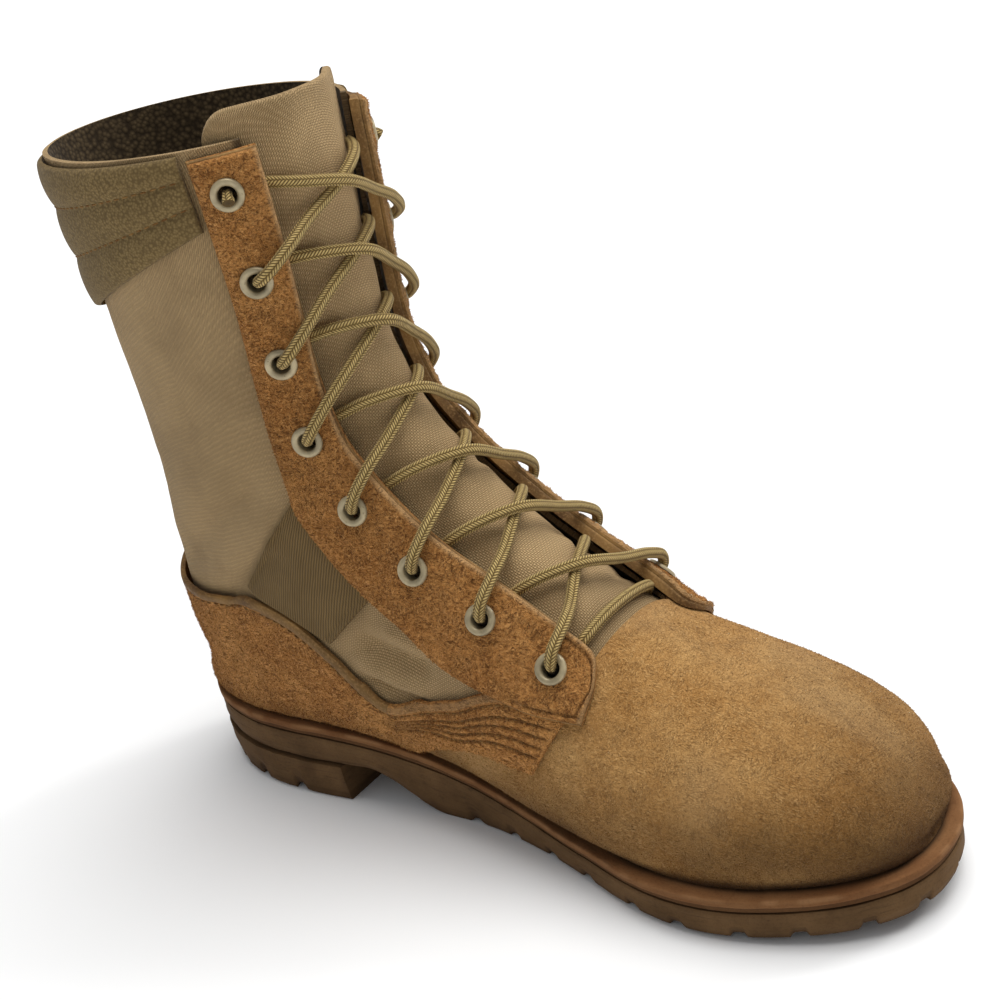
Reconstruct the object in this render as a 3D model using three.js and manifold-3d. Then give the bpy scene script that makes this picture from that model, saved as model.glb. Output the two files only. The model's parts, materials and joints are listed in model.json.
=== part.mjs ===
// Combat boot, left, standing empty. Millimetres, +Z up, toe along +X, outer side along +Y.
// Every form of the upper comes from one surface, P(v, u): v counts the sections of the tables
// below from the toe tip to the collar, and u runs round a section from the inner (medial) end,
// -1, over the ridge, 0, to the outer (lateral) end, +1.
import * as THREE from 'three';
import { mergeVertices } from 'three/addons/utils/BufferGeometryUtils.js';
import Module from 'manifold-3d';

const wasm = await Module();
wasm.setup();

// Driving sizes of the last and the shaft
const SOLE_LENGTH = 308;
const BALL_WIDTH = 110;
const INSTEP_RISE = 111.5; // ankle bend above the forefoot's sole edge
const SHAFT_HEIGHT = 123; // collar above the ankle bend
const COLLAR_WIDTH = 93;
const HEEL_EDGE = 33; // top of the midsole above the ground at the heel
const FORE_EDGE = 15.5; // the same at the ball
const TOE_SPRING = 6;
const TIP_OFFSET = 3.3; // the toe tip lies this far to the inner side

// Sole
const SHELF = 6; // rim of the midsole round the upper
const MIDSOLE = 5;
const MIDSOLE_LIP = 2.6;
const LIP_STEP = 1.2;
const LIP_ROUND = 0.8;
const OUTSOLE_INSET = 0.5;
const OUTSOLE_DRAFT = 1.2;
const HEEL_BLOCK = 16;
const LUG_DEPTH = 3;
const LUG_PITCH = 20;
const LUG_NOTCH = 5;
const LUG_REACH = 13;
const WELL_INSET = 19;
const CHEVRON_WIDTH = 9;
const INSOLE = 4;
const INSOLE_GAP = 1.8;

// Upper and what lies on it
const GAP = 0.3; // running clearance between neighbouring pieces
const SEAT = 0.6; // overlays stand this far off the upper's true surface
const HEEL_SEAT = 1.2; // the same round the tight curve of the heel
const WALL = 2.2;
const EYESTAY = 4.5;
const LIP_LIFT = 1.2; // the eyestay's free edge stands off the throat
const FOXING = 2.2;
const WEBBING = 1.6;
const BACKSTAY = 1.8;
const COLLAR = 3.2;
const TONGUE = 3;
const TONGUE_CROWN = 2;
const TONGUE_RISE = 9; // tongue above the collar

// Eyelets and lace
const EYELET_FLANGE = 11.5;
const EYELET_BORE = 5.6;
const EYELET_BARREL = 7;
const EYELET_CROWN = 1.1;
const EYELET_PITCH = 29;
const EYELET_SETBACK = 11.5; // centre behind the eyestay's free edge
const EYELET_TOP_MARGIN = 9; // last centre below the collar
const LACE = 4.1;

const BOOT_HEIGHT = FORE_EDGE + INSTEP_RISE + SHAFT_HEIGHT;
const BACK_HEIGHT = BOOT_HEIGHT - HEEL_EDGE;

// Sole outline from heel to toe: along is a share of SOLE_LENGTH, outer and inner of BALL_WIDTH
const OUTLINE = [
  { along: 0, outer: 0, inner: 0 },
  { along: 0.02, outer: 0.165, inner: 0.165 },
  { along: 0.065, outer: 0.275, inner: 0.275 },
  { along: 0.13, outer: 0.345, inner: 0.335 },
  { along: 0.2, outer: 0.365, inner: 0.345 },
  { along: 0.27, outer: 0.382, inner: 0.33 },
  { along: 0.36, outer: 0.405, inner: 0.295 },
  { along: 0.45, outer: 0.44, inner: 0.28 },
  { along: 0.54, outer: 0.488, inner: 0.314 },
  { along: 0.63, outer: 0.529, inner: 0.383 },
  { along: 0.7, outer: 0.538, inner: 0.442 },
  { along: 0.76, outer: 0.522, inner: 0.465 },
  { along: 0.82, outer: 0.482, inner: 0.452 },
  { along: 0.88, outer: 0.41, inner: 0.402 },
  { along: 0.935, outer: 0.3, inner: 0.327 },
  { along: 0.975, outer: 0.18, inner: 0.232 },
  { along: 0.995, outer: 0.066, inner: 0.13 },
];

// Sections of the foot, toe tip to ankle bend. along: ridge, share of SOLE_LENGTH. up: ridge, share
// of INSTEP_RISE. foot: where the section meets the sole, share of the way from toe tip to heel
// back. outer, inner, ridge: shares of BALL_WIDTH. widest: share of the drop from ridge to sole.
const FOOT = [
  { along: 0.977, up: 0.049, foot: 0, outer: -0.03, inner: 0.03, ridge: -0.03, widest: 0.6 },
  { along: 0.978, up: 0.117, foot: 0.05, outer: 0.155, inner: 0.173, ridge: -0.036, widest: 0.6 },
  { along: 0.964, up: 0.206, foot: 0.1, outer: 0.236, inner: 0.255, ridge: -0.041, widest: 0.62 },
  { along: 0.932, up: 0.287, foot: 0.155, outer: 0.309, inner: 0.323, ridge: -0.041, widest: 0.64 },
  { along: 0.88, up: 0.35, foot: 0.215, outer: 0.373, inner: 0.377, ridge: -0.041, widest: 0.66 },
  { along: 0.815, up: 0.404, foot: 0.285, outer: 0.427, inner: 0.418, ridge: -0.036, widest: 0.68 },
  { along: 0.74, up: 0.462, foot: 0.365, outer: 0.455, inner: 0.414, ridge: -0.027, widest: 0.69 },
  { along: 0.659, up: 0.556, foot: 0.45, outer: 0.459, inner: 0.377, ridge: -0.014, widest: 0.68 },
  { along: 0.584, up: 0.7, foot: 0.54, outer: 0.441, inner: 0.341, ridge: -0.005, widest: 0.66 },
  { along: 0.519, up: 0.848, foot: 0.64, outer: 0.418, inner: 0.327, ridge: 0.005, widest: 0.64 },
  { along: 0.468, up: 1, foot: 0.74, outer: 0.395, inner: 0.327, ridge: 0.009, widest: 0.62 },
];

// Sections of the shaft. up: ridge, share of SHAFT_HEIGHT above the ankle bend. rise: foot of the
// section above the heel, share of BACK_HEIGHT. back: back seam, share of SOLE_LENGTH.
// outer, inner, ridge: shares of COLLAR_WIDTH.
const SHAFT = [
  { along: 0.43, up: 0.142, foot: 0.86, rise: 0, back: 0.021, outer: 0.441, inner: 0.392, ridge: 0.011, widest: 0.58 },
  { along: 0.407, up: 0.28, foot: 1, rise: 0, back: 0.018, outer: 0.425, inner: 0.398, ridge: 0.005, widest: 0.55 },
  { along: 0.394, up: 0.423, foot: 1, rise: 0.12, back: 0.008, outer: 0.414, inner: 0.403, ridge: 0, widest: 0.53 },
  { along: 0.39, up: 0.569, foot: 1, rise: 0.267, back: 0.018, outer: 0.425, inner: 0.419, ridge: 0, widest: 0.52 },
  { along: 0.388, up: 0.715, foot: 1, rise: 0.452, back: 0.037, outer: 0.446, inner: 0.446, ridge: 0, widest: 0.5 },
  { along: 0.388, up: 0.858, foot: 1, rise: 0.691, back: 0.037, outer: 0.473, inner: 0.473, ridge: 0, widest: 0.5 },
  { along: 0.39, up: 1, foot: 1, rise: 1, back: 0.016, outer: 0.5, inner: 0.5, ridge: 0, widest: 0.5 },
];

// Free and rear edges of the eyestays on P, front to collar
const EYESTAY_EDGES = {
  inner: [
    { freeV: 6.9, freeU: 0.205, rearV: 6.76, rearU: 0.36 },
    { freeV: 7.15, freeU: 0.168, rearV: 7.0, rearU: 0.387 },
    { freeV: 7.8, freeU: 0.178, rearV: 7.6, rearU: 0.44 },
    { freeV: 8.7, freeU: 0.196, rearV: 8.5, rearU: 0.48 },
    { freeV: 9.65, freeU: 0.22, rearV: 9.3, rearU: 0.464 },
    { freeV: 11, freeU: 0.225, rearV: 10.45, rearU: 0.44 },
    { freeV: 12.5, freeU: 0.225, rearV: 12, rearU: 0.4 },
    { freeV: 14, freeU: 0.215, rearV: 14, rearU: 0.385 },
    { freeV: 15.5, freeU: 0.205, rearV: 15.5, rearU: 0.375 },
    { freeV: 16.9, freeU: 0.2, rearV: 16.9, rearU: 0.365 },
  ],
  outer: [
    { freeV: 6.62, freeU: 0.225, rearV: 6.62, rearU: 0.385 },
    { freeV: 6.88, freeU: 0.205, rearV: 6.8, rearU: 0.412 },
    { freeV: 7.6, freeU: 0.245, rearV: 7.35, rearU: 0.475 },
    { freeV: 8.5, freeU: 0.265, rearV: 8.3, rearU: 0.505 },
    { freeV: 9.6, freeU: 0.245, rearV: 9.25, rearU: 0.475 },
    { freeV: 11, freeU: 0.225, rearV: 10.45, rearU: 0.44 },
    { freeV: 12.5, freeU: 0.225, rearV: 12, rearU: 0.4 },
    { freeV: 14, freeU: 0.215, rearV: 14, rearU: 0.385 },
    { freeV: 15.5, freeU: 0.205, rearV: 15.5, rearU: 0.375 },
    { freeV: 16.9, freeU: 0.2, rearV: 16.9, rearU: 0.365 },
  ],
};
const EYELET_START = { inner: 7.39, outer: 7.42 };

// Upper and lower edge of the foxing on P: front of the wing, its notch over the arch, heel back
const FOXING_EDGES = [
  { topV: 6.95, topU: 0.41, lowV: 6.98, lowU: 0.545 },
  { topV: 7.5, topU: 0.457, lowV: 7.42, lowU: 0.595 },
  { topV: 8.05, topU: 0.497, lowV: 7.83, lowU: 0.645 },
  { topV: 8.45, topU: 0.555, lowV: 8.27, lowU: 0.72 },
  { topV: 8.78, topU: 0.616, lowV: 8.56, lowU: 0.81 },
  { topV: 9.16, topU: 0.682, lowV: 8.8, lowU: 0.93 },
  { topV: 9.6, topU: 0.665, lowV: 9.1, lowU: 0.99 },
  { topV: 10.11, topU: 0.628, lowV: 9.6, lowU: 1 },
  { topV: 10.9, topU: 0.605, lowV: 10.2, lowU: 1 },
  { topV: 11.7, topU: 0.625, lowV: 10.9, lowU: 1 },
  { topV: 12.7, topU: 0.72, lowV: 11.6, lowU: 1 },
  { topV: 13.6, topU: 0.87, lowV: 11.95, lowU: 1 },
  { topV: 14.1, topU: 1, lowV: 12.15, lowU: 1 },
];

// Front and rear edge of the ankle webbing on P, from the eyestay down to the foxing
const WEBBING_EDGES = [
  { frontV: 9.95, frontU: 0.475, rearV: 11.9, rearU: 0.425 },
  { frontV: 10.2, frontU: 0.6, rearV: 11.75, rearU: 0.6 },
];

const LAST = FOOT.length + SHAFT.length - 1; // v at the collar
const BACK_START = FOOT.length + 1; // v where the back seam starts
const THROAT_FRONT = 7.1; // v of the vamp's edge under the laces
const THROAT_SETBACK = 0.03; // the wall's edge behind the eyestay's, in u
const SIDE_BREAK = 0.62; // u where a section is widest
const FOOT_NORMAL = 0.9; // nearer the sole than this u, an offset runs level
const LEVEL_FROM = 0.7;
const TIP_ROWS = 0.4; // the toe tip's offsets run level up to this v

// Curves and small helpers

function clamp(value, low, high) {
  return Math.min(Math.max(value, low), high);
}

function smooth(value) {
  const t = clamp(value, 0, 1);
  return t * t * (3 - 2 * t);
}

function mix(a, b, t) {
  return a + (b - a) * t;
}

function catmull(a, b, c, d, t) {
  const slope = (c - a) * t;
  const square = (2 * a - 5 * b + 4 * c - d) * t ** 2;
  const cube = (3 * b - a - 3 * c + d) * t ** 3;
  return 0.5 * (2 * b + slope + square + cube);
}

// Value of one column at a fractional row, through all rows
function along(rows, column, place) {
  const last = rows.length - 1;
  const row = clamp(Math.floor(place), 0, last - 1);
  const here = rows[row][column];
  const next = rows[row + 1][column];
  const before = row > 0 ? rows[row - 1][column] : 2 * here - next;
  const after = row + 2 <= last ? rows[row + 2][column] : 2 * next - here;
  return catmull(before, here, next, after, place - row);
}

// Row, with fraction, at which a rising column passes a value
function rowAt(rows, column, value) {
  let row = 0;
  while (row < rows.length - 2 && rows[row + 1][column] < value) row += 1;
  const low = rows[row][column];
  return row + (value - low) / (rows[row + 1][column] - low);
}

// Sole: top and underside along X

const SOLE_RAMP_START = 0.23 * SOLE_LENGTH;
const SOLE_RAMP = 0.39 * SOLE_LENGTH;
const SPRING_START = 0.7 * SOLE_LENGTH;
const HEEL_BREAST = 0.27 * SOLE_LENGTH;
const ARCH_START = 0.3 * SOLE_LENGTH;
const ARCH_END = 0.41 * SOLE_LENGTH;

function spring(x) {
  return TOE_SPRING * Math.max((x - SPRING_START) / (SOLE_LENGTH - SPRING_START), 0) ** 2;
}

function soleTop(x) {
  return mix(HEEL_EDGE, FORE_EDGE, smooth((x - SOLE_RAMP_START) / SOLE_RAMP)) + spring(x);
}

function outsoleUnder(x) {
  return HEEL_BLOCK * (1 - smooth((x - ARCH_START) / (ARCH_END - ARCH_START))) + spring(x);
}

// Closed outline of the sole, heel back, outer side, toe tip, inner side, moved inwards by inset
function outline(inset, perRow) {
  const outer = OUTLINE.map((r) => [r.along * SOLE_LENGTH, r.outer * BALL_WIDTH]);
  const inner = OUTLINE.slice(1).map((r) => [r.along * SOLE_LENGTH, -r.inner * BALL_WIDTH]);
  const points = [...outer, [SOLE_LENGTH, -TIP_OFFSET], ...inner.reverse()];
  const count = points.length;
  const at = (place) => {
    const row = Math.floor(place);
    const pick = (step, axis) => points[(row + step + count) % count][axis];
    const value = (axis) => catmull(pick(-1, axis), pick(0, axis), pick(1, axis), pick(2, axis), place - row);
    return new THREE.Vector2(value(0), value(1));
  };
  const loop = [];
  for (let i = 0; i < count * perRow; i += 1) {
    const place = i / perRow;
    const step = 0.5 / perRow;
    const ahead = at((place + step) % count).sub(at((place - step + count) % count)).normalize();
    loop.push(at(place).add(new THREE.Vector2(ahead.y, -ahead.x).multiplyScalar(inset)));
  }
  return loop;
}

// Line where the upper meets the midsole, one list a side, from the toe tip to the heel back
const FEATHER_STEPS = 6;
const featherLoop = outline(SHELF, FEATHER_STEPS);
const featherHalf = featherLoop.length / 2;
const feather = {
  outer: measured(featherLoop.slice(0, featherHalf + 1).reverse()),
  inner: measured([...featherLoop.slice(featherHalf), featherLoop[0]]),
};

function measured(points) {
  const rows = [{ x: points[0].x, y: points[0].y, share: 0 }];
  for (let i = 1; i < points.length; i += 1) {
    const length = rows[i - 1].share + points[i].distanceTo(points[i - 1]);
    rows.push({ x: points[i].x, y: points[i].y, share: length });
  }
  const total = rows.at(-1).share;
  rows.forEach((row) => {
    row.share /= total;
  });
  return rows;
}

function featherPoint(side, share) {
  const rows = feather[side];
  const place = rowAt(rows, 'share', share);
  const row = Math.floor(place);
  const next = rows[Math.min(row + 1, rows.length - 1)];
  return {
    x: mix(rows[row].x, next.x, place - row),
    y: mix(rows[row].y, next.y, place - row),
  };
}

// The upper's outer surface

const SECTIONS = [
  ...FOOT.map((r) => ({
    x: r.along * SOLE_LENGTH,
    z: FORE_EDGE + r.up * INSTEP_RISE,
    foot: r.foot,
    rise: 0,
    back: 0.021 * SOLE_LENGTH,
    outer: r.outer * BALL_WIDTH,
    inner: r.inner * BALL_WIDTH,
    ridge: r.ridge * BALL_WIDTH,
    widest: r.widest,
  })),
  ...SHAFT.map((r) => ({
    x: r.along * SOLE_LENGTH,
    z: FORE_EDGE + INSTEP_RISE + r.up * SHAFT_HEIGHT,
    foot: r.foot,
    rise: r.rise * BACK_HEIGHT,
    back: r.back * SOLE_LENGTH,
    outer: r.outer * COLLAR_WIDTH,
    inner: r.inner * COLLAR_WIDTH,
    ridge: r.ridge * COLLAR_WIDTH,
    widest: r.widest,
  })),
];
const SEAM_BLEND = 15; // rise over which the foot of a section leaves the feather line
const ABOVE_COLLAR = 15; // millimetres for each v past the collar

function surface(v, u) {
  const row = Math.min(v, LAST);
  const s = {};
  Object.keys(SECTIONS[0]).forEach((column) => {
    s[column] = along(SECTIONS, column, row);
  });
  const side = u < 0 ? 'inner' : 'outer';
  const sign = u < 0 ? -1 : 1;
  const rise = row > BACK_START ? Math.max(s.rise, 0) : 0;
  const seam = Math.min(rise / SEAM_BLEND, 1);
  const meet = featherPoint(side, clamp(s.foot, 0, 1));
  const endX = mix(meet.x, s.back, seam);
  const endZ = soleTop(endX) + GAP + rise;
  const tip = Math.min(row * 20, 1);
  const footHalf = Math.max(sign * (meet.y * (1 - seam) - s.ridge * (1 - seam)), 0) * tip;
  const reach = side === 'outer' ? s.outer - s.ridge : s.inner + s.ridge;
  const half = Math.max(reach, footHalf + 0.25 * tip) * tip;
  const q = Math.abs(u);
  let down;
  let out;
  if (q <= SIDE_BREAK) {
    const angle = ((q / SIDE_BREAK) * Math.PI) / 2;
    down = s.widest * (1 - Math.cos(angle));
    out = half * Math.sin(angle);
  } else {
    const angle = (((q - SIDE_BREAK) / (1 - SIDE_BREAK)) * Math.PI) / 2;
    down = s.widest + (1 - s.widest) * Math.sin(angle);
    out = footHalf + (half - footHalf) * Math.cos(angle);
  }
  const ridgeY = s.ridge;
  return new THREE.Vector3(
    mix(s.x, endX, down),
    ridgeY + sign * out,
    mix(s.z, endZ, down) + Math.max(v - LAST, 0) * ABOVE_COLLAR,
  );
}

// Outward direction of the surface; low on the foot it stays level, so an offset keeps clear
function outward(v, u) {
  const seam = clamp(v - BACK_START, 0, 1);
  const limit = mix(FOOT_NORMAL, 1, seam);
  const place = clamp(v, 0.05, LAST);
  const angle = clamp(u, -limit, limit);
  const step = 0.01;
  const du = surface(place, Math.min(angle + step, 1)).sub(surface(place, Math.max(angle - step, -1)));
  const dv = surface(Math.min(place + step, LAST), angle).sub(surface(place - step, angle));
  const normal = du.cross(dv).normalize();
  const low = smooth((Math.abs(u) - LEVEL_FROM) / (1 - LEVEL_FROM)) * (1 - seam);
  const tip = 1 - smooth(v / TIP_ROWS);
  normal.z *= 1 - Math.max(low, tip);
  return normal.normalize();
}

function offset(v, u, distance) {
  return surface(v, u).addScaledVector(outward(v, u), distance);
}

// Solids

// A closed wall between two copies of one sheet of quads, welded where the sheet meets itself;
// open edges get a rim
function thicken(sheet, outer, inner, quads) {
  const lookup = new Map();
  const positions = [];
  const shadows = [];
  const shares = [];
  const welded = sheet.map((point, i) => {
    const key = point.toArray().map((c) => Math.round(c * 1000)).join();
    if (!lookup.has(key)) {
      lookup.set(key, positions.length);
      positions.push(new THREE.Vector3());
      shadows.push(new THREE.Vector3());
      shares.push(0);
    }
    const index = lookup.get(key);
    positions[index].add(outer[i]);
    shadows[index].add(inner[i]);
    shares[index] += 1;
    return index;
  });
  shares.forEach((share, i) => {
    positions[i].divideScalar(share);
    shadows[i].divideScalar(share);
  });
  const faces = quads
    .flatMap(([a, b, c, d]) => [[a, b, c], [a, c, d]])
    .map((face) => face.map((i) => welded[i]))
    .filter(([a, b, c]) => a !== b && b !== c && c !== a);
  const count = positions.length;
  const edges = new Set(faces.flatMap(([a, b, c]) => [`${a},${b}`, `${b},${c}`, `${c},${a}`]));
  const rim = [...edges]
    .map((edge) => edge.split(',').map(Number))
    .filter(([a, b]) => !edges.has(`${b},${a}`))
    .flatMap(([a, b]) => [[b, a, a + count], [b, a + count, b + count]]);
  const back = faces.map(([a, b, c]) => [a + count, c + count, b + count]);
  return closedSolid([...positions, ...shadows], [...faces, ...back, ...rim]);
}

function closedSolid(points, faces) {
  const vertProperties = new Float32Array(points.flatMap((p) => p.toArray()));
  const volume = faces.reduce((sum, [a, b, c]) => {
    return sum + points[a].dot(points[b].clone().cross(points[c]));
  }, 0);
  const triVerts = new Uint32Array(faces.flatMap((f) => (volume < 0 ? [f[0], f[2], f[1]] : f)));
  return new wasm.Manifold(new wasm.Mesh({ numProp: 3, vertProperties, triVerts }));
}

function gridQuads(rows, columns) {
  const quads = [];
  for (let j = 0; j < rows; j += 1) {
    for (let i = 0; i < columns; i += 1) {
      const a = j * (columns + 1) + i;
      quads.push([a, a + 1, a + columns + 2, a + columns + 1]);
    }
  }
  return quads;
}

// A piece of the surface between two offsets; place(s, w) gives v and u, low and high the offsets
function panel(place, rows, columns, low, high) {
  const sheet = [];
  const outer = [];
  const inner = [];
  for (let j = 0; j <= rows; j += 1) {
    for (let i = 0; i <= columns; i += 1) {
      const s = j / rows;
      const w = i / columns;
      const { v, u } = place(s, w);
      sheet.push(surface(v, u));
      outer.push(offset(v, u, high(s, w)));
      inner.push(offset(v, u, low(s, w)));
    }
  }
  return thicken(sheet, outer, inner, gridQuads(rows, columns));
}

// A closed stack of equal loops, each with its own height rule, capped across from side to side
function stack(layers) {
  const points = layers.flatMap(({ loop, height }) => loop.map((p) => new THREE.Vector3(p.x, p.y, height(p.x))));
  const count = layers[0].loop.length;
  const faces = [];
  const quad = (a, b, c, d) => faces.push([a, b, c], [a, c, d]);
  for (let j = 0; j + 1 < layers.length; j += 1) {
    for (let i = 0; i < count; i += 1) {
      const next = (i + 1) % count;
      quad(j * count + i, j * count + next, (j + 1) * count + next, (j + 1) * count + i);
    }
  }
  const cap = (start, flip) => {
    for (let i = 0; i < count / 2; i += 1) {
      const ring = [i, i + 1, (count - i - 1) % count, (count - i) % count].map((k) => k + start);
      const kept = [[ring[0], ring[1], ring[2]], [ring[0], ring[2], ring[3]]];
      kept.filter(([a, b, c]) => a !== b && b !== c && c !== a).forEach((f) => faces.push(flip ? f : [f[0], f[2], f[1]]));
    }
  };
  cap(0, false);
  cap((layers.length - 1) * count, true);
  return closedSolid(points, faces);
}

// A three.js geometry as a solid
function solidOf(geometry) {
  geometry.deleteAttribute('normal');
  geometry.deleteAttribute('uv');
  const merged = mergeVertices(geometry, 1e-4);
  const index = merged.index.array;
  const kept = [];
  for (let i = 0; i < index.length; i += 3) {
    const [a, b, c] = index.slice(i, i + 3);
    if (a !== b && b !== c && c !== a) kept.push(a, b, c);
  }
  return new wasm.Manifold(new wasm.Mesh({
    numProp: 3,
    vertProperties: new Float32Array(merged.attributes.position.array),
    triVerts: new Uint32Array(kept),
  }));
}

function geometryOf(solid) {
  const { vertProperties, triVerts } = solid.getMesh();
  const geometry = new THREE.BufferGeometry();
  geometry.setAttribute('position', new THREE.BufferAttribute(new Float32Array(vertProperties), 3));
  geometry.setIndex(new THREE.BufferAttribute(new Uint32Array(triVerts), 1));
  geometry.computeVertexNormals();
  return geometry;
}

const FINISHES = {
  suede: { color: '#b98a50', roughness: 0.95, metalness: 0 },
  roughSuede: { color: '#9a6232', roughness: 0.98, metalness: 0 },
  nylon: { color: '#8e7d5c', roughness: 0.85, metalness: 0 },
  midsole: { color: '#8a5a38', roughness: 0.55, metalness: 0 },
  outsole: { color: '#6b5436', roughness: 0.7, metalness: 0 },
  lining: { color: '#7b6a4a', roughness: 0.9, metalness: 0 },
  eyelet: { color: '#a9a089', roughness: 0.4, metalness: 0.6 },
  lace: { color: '#8f8048', roughness: 0.8, metalness: 0 },
};

function piece(name, solid, finish) {
  const mesh = new THREE.Mesh(geometryOf(solid), new THREE.MeshStandardMaterial(FINISHES[finish]));
  mesh.name = name;
  return mesh;
}

// Sole pieces

const SOLE_STEPS = 2;

function midsole() {
  const edge = outline(0, SOLE_STEPS);
  const rounded = outline(LIP_ROUND, SOLE_STEPS);
  const band = outline(LIP_STEP, SOLE_STEPS);
  return stack([
    { loop: band, height: (x) => soleTop(x) - MIDSOLE },
    { loop: band, height: (x) => soleTop(x) - MIDSOLE_LIP },
    { loop: edge, height: (x) => soleTop(x) - MIDSOLE_LIP },
    { loop: edge, height: (x) => soleTop(x) - LIP_ROUND },
    { loop: rounded, height: soleTop },
  ]);
}

// Part of an outline between two places along the sole, with square ends
function clip(loop, from, to) {
  const half = loop.length / 2;
  const rows = [];
  for (let i = 0; i <= half; i += 1) {
    const outer = loop[i];
    const inner = loop[(loop.length - i) % loop.length];
    const near = i > 0 ? loop[i - 1].x : outer.x;
    const far = i < half ? loop[i + 1].x : outer.x;
    if (far > from && near < to) {
      const x = clamp(outer.x, from, to);
      rows.push([new THREE.Vector2(x, outer.y), new THREE.Vector2(clamp(inner.x, from, to), inner.y)]);
    }
  }
  const start = rows[0][0].clone().add(rows[0][1]).multiplyScalar(0.5);
  const end = rows.at(-1)[0].clone().add(rows.at(-1)[1]).multiplyScalar(0.5);
  const pointed = (row) => row[0].distanceTo(row[1]) < GAP;
  const sides = rows.filter((row) => !pointed(row));
  return [start, ...sides.map((row) => row[0]), end, ...sides.map((row) => row[1]).reverse()];
}

// Box cutter from the sole's edge inwards at one place of its outline
function notch(point, inwards, height) {
  const box = new THREE.BoxGeometry(LUG_REACH * 2, LUG_NOTCH, height * 2);
  box.rotateZ(Math.atan2(inwards.y, inwards.x));
  box.translate(point.x, point.y, spring(point.x));
  return solidOf(box);
}

// Notches at a pitch round the part of the outline where keep(x) holds
function notches(keep, depth) {
  const loop = outline(OUTSOLE_INSET, FEATHER_STEPS);
  const cutters = [];
  let travelled = LUG_PITCH / 2;
  for (let i = 0; i < loop.length; i += 1) {
    const next = loop[(i + 1) % loop.length];
    travelled += next.distanceTo(loop[i]);
    if (travelled >= LUG_PITCH) {
      travelled -= LUG_PITCH;
      const ahead = next.clone().sub(loop[i]).normalize();
      if (keep(next.x)) cutters.push(notch(next, new THREE.Vector2(ahead.y, -ahead.x), depth));
    }
  }
  return cutters;
}

// Sunk field inside the edge lugs, between two places along the sole
function well(from, to, top) {
  const loop = clip(outline(WELL_INSET, 1), from, to);
  return stack([
    { loop, height: (x) => spring(x) - top },
    { loop, height: (x) => spring(x) + top },
  ]);
}

// Two slanted bars that meet on the centre line
function chevron(x, centre, span) {
  const arm = (side) => {
    const box = new THREE.BoxGeometry(CHEVRON_WIDTH, span, LUG_DEPTH + 1);
    box.translate(0, (side * span) / 2.2, 0);
    box.rotateZ(side * 0.45);
    box.translate(x, centre, spring(x) + (LUG_DEPTH + 1) / 2);
    return solidOf(box);
  };
  return arm(1).add(arm(-1));
}

function outsole() {
  const upperLoop = outline(OUTSOLE_INSET, SOLE_STEPS);
  const lowerLoop = outline(OUTSOLE_INSET + OUTSOLE_DRAFT, SOLE_STEPS);
  let solid = stack([
    { loop: lowerLoop, height: outsoleUnder },
    { loop: upperLoop, height: (x) => mix(outsoleUnder(x), soleTop(x) - MIDSOLE, 0.35) },
    { loop: upperLoop, height: (x) => soleTop(x) - MIDSOLE - GAP },
  ]);
  const first = ARCH_END + LUG_NOTCH;
  notches((x) => x > first, LUG_DEPTH).forEach((cutter) => {
    solid = solid.subtract(cutter);
  });
  solid = solid.subtract(well(first, SOLE_LENGTH, LUG_DEPTH));
  for (let x = first + LUG_PITCH * 0.4; x < 0.88 * SOLE_LENGTH; x += LUG_PITCH) {
    solid = solid.add(chevron(x, 0.02 * BALL_WIDTH, 0.17 * BALL_WIDTH));
  }
  return solid;
}

function heel() {
  const cut = (inset) => clip(outline(inset, SOLE_STEPS), 0, HEEL_BREAST);
  let solid = stack([
    { loop: cut(OUTSOLE_INSET + OUTSOLE_DRAFT), height: () => 0 },
    { loop: cut(OUTSOLE_INSET), height: () => HEEL_BLOCK / 3 },
    { loop: cut(OUTSOLE_INSET), height: () => HEEL_BLOCK - GAP },
  ]);
  notches((x) => x < HEEL_BREAST - LUG_PITCH, LUG_DEPTH).forEach((cutter) => {
    solid = solid.subtract(cutter);
  });
  return solid.subtract(well(0, HEEL_BREAST - WELL_INSET / 2, LUG_DEPTH));
}

function insole() {
  const loop = outline(SHELF + WALL + INSOLE_GAP, SOLE_STEPS);
  return stack([
    { loop, height: (x) => soleTop(x) + GAP },
    { loop, height: (x) => soleTop(x) + GAP + INSOLE },
  ]);
}

// Upper

const UPPER_ROWS = LAST * 2;
const FRONT_COLUMNS = 6; // faces from the ridge to the widest place of a section
const REAR_COLUMNS = 8; // and from there to its end

// u at a column of the upper's wall, counted from the ridge
function columnU(column) {
  const front = Math.min(Math.abs(column), FRONT_COLUMNS) / FRONT_COLUMNS;
  const rear = Math.max(Math.abs(column) - FRONT_COLUMNS, 0) / REAR_COLUMNS;
  return Math.sign(column) * (SIDE_BREAK * front + (1 - SIDE_BREAK) * rear);
}

function upper() {
  const half = FRONT_COLUMNS + REAR_COLUMNS;
  const sheet = (s, w) => ({ v: s * LAST, u: columnU(Math.round(w * half * 2) - half) });
  const wall = panel(sheet, UPPER_ROWS, half * 2, () => -WALL, () => 0);
  const throat = panel(
    (s, w) => {
      const v = mix(THROAT_FRONT, LAST + 1, s);
      const sides = { inner: wallEdge('inner', v), outer: wallEdge('outer', v) };
      return { v, u: mix(-sides.inner, sides.outer, w) };
    },
    24,
    4,
    () => -WALL * 3,
    () => WALL * 3,
  );
  return wall.subtract(throat);
}

// An overlay stands on the upper's surface, clear of the chords of both
function overlay(place, rows, columns, thickness) {
  return panel(place, rows, columns, () => SEAT, (s, w) => SEAT + thickness(s, w));
}

// Edges of the eyestay at a v
function freeEdge(side, v) {
  const rows = EYESTAY_EDGES[side];
  return along(rows, 'freeU', clamp(rowAt(rows, 'freeV', v), 0, rows.length - 1));
}

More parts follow.
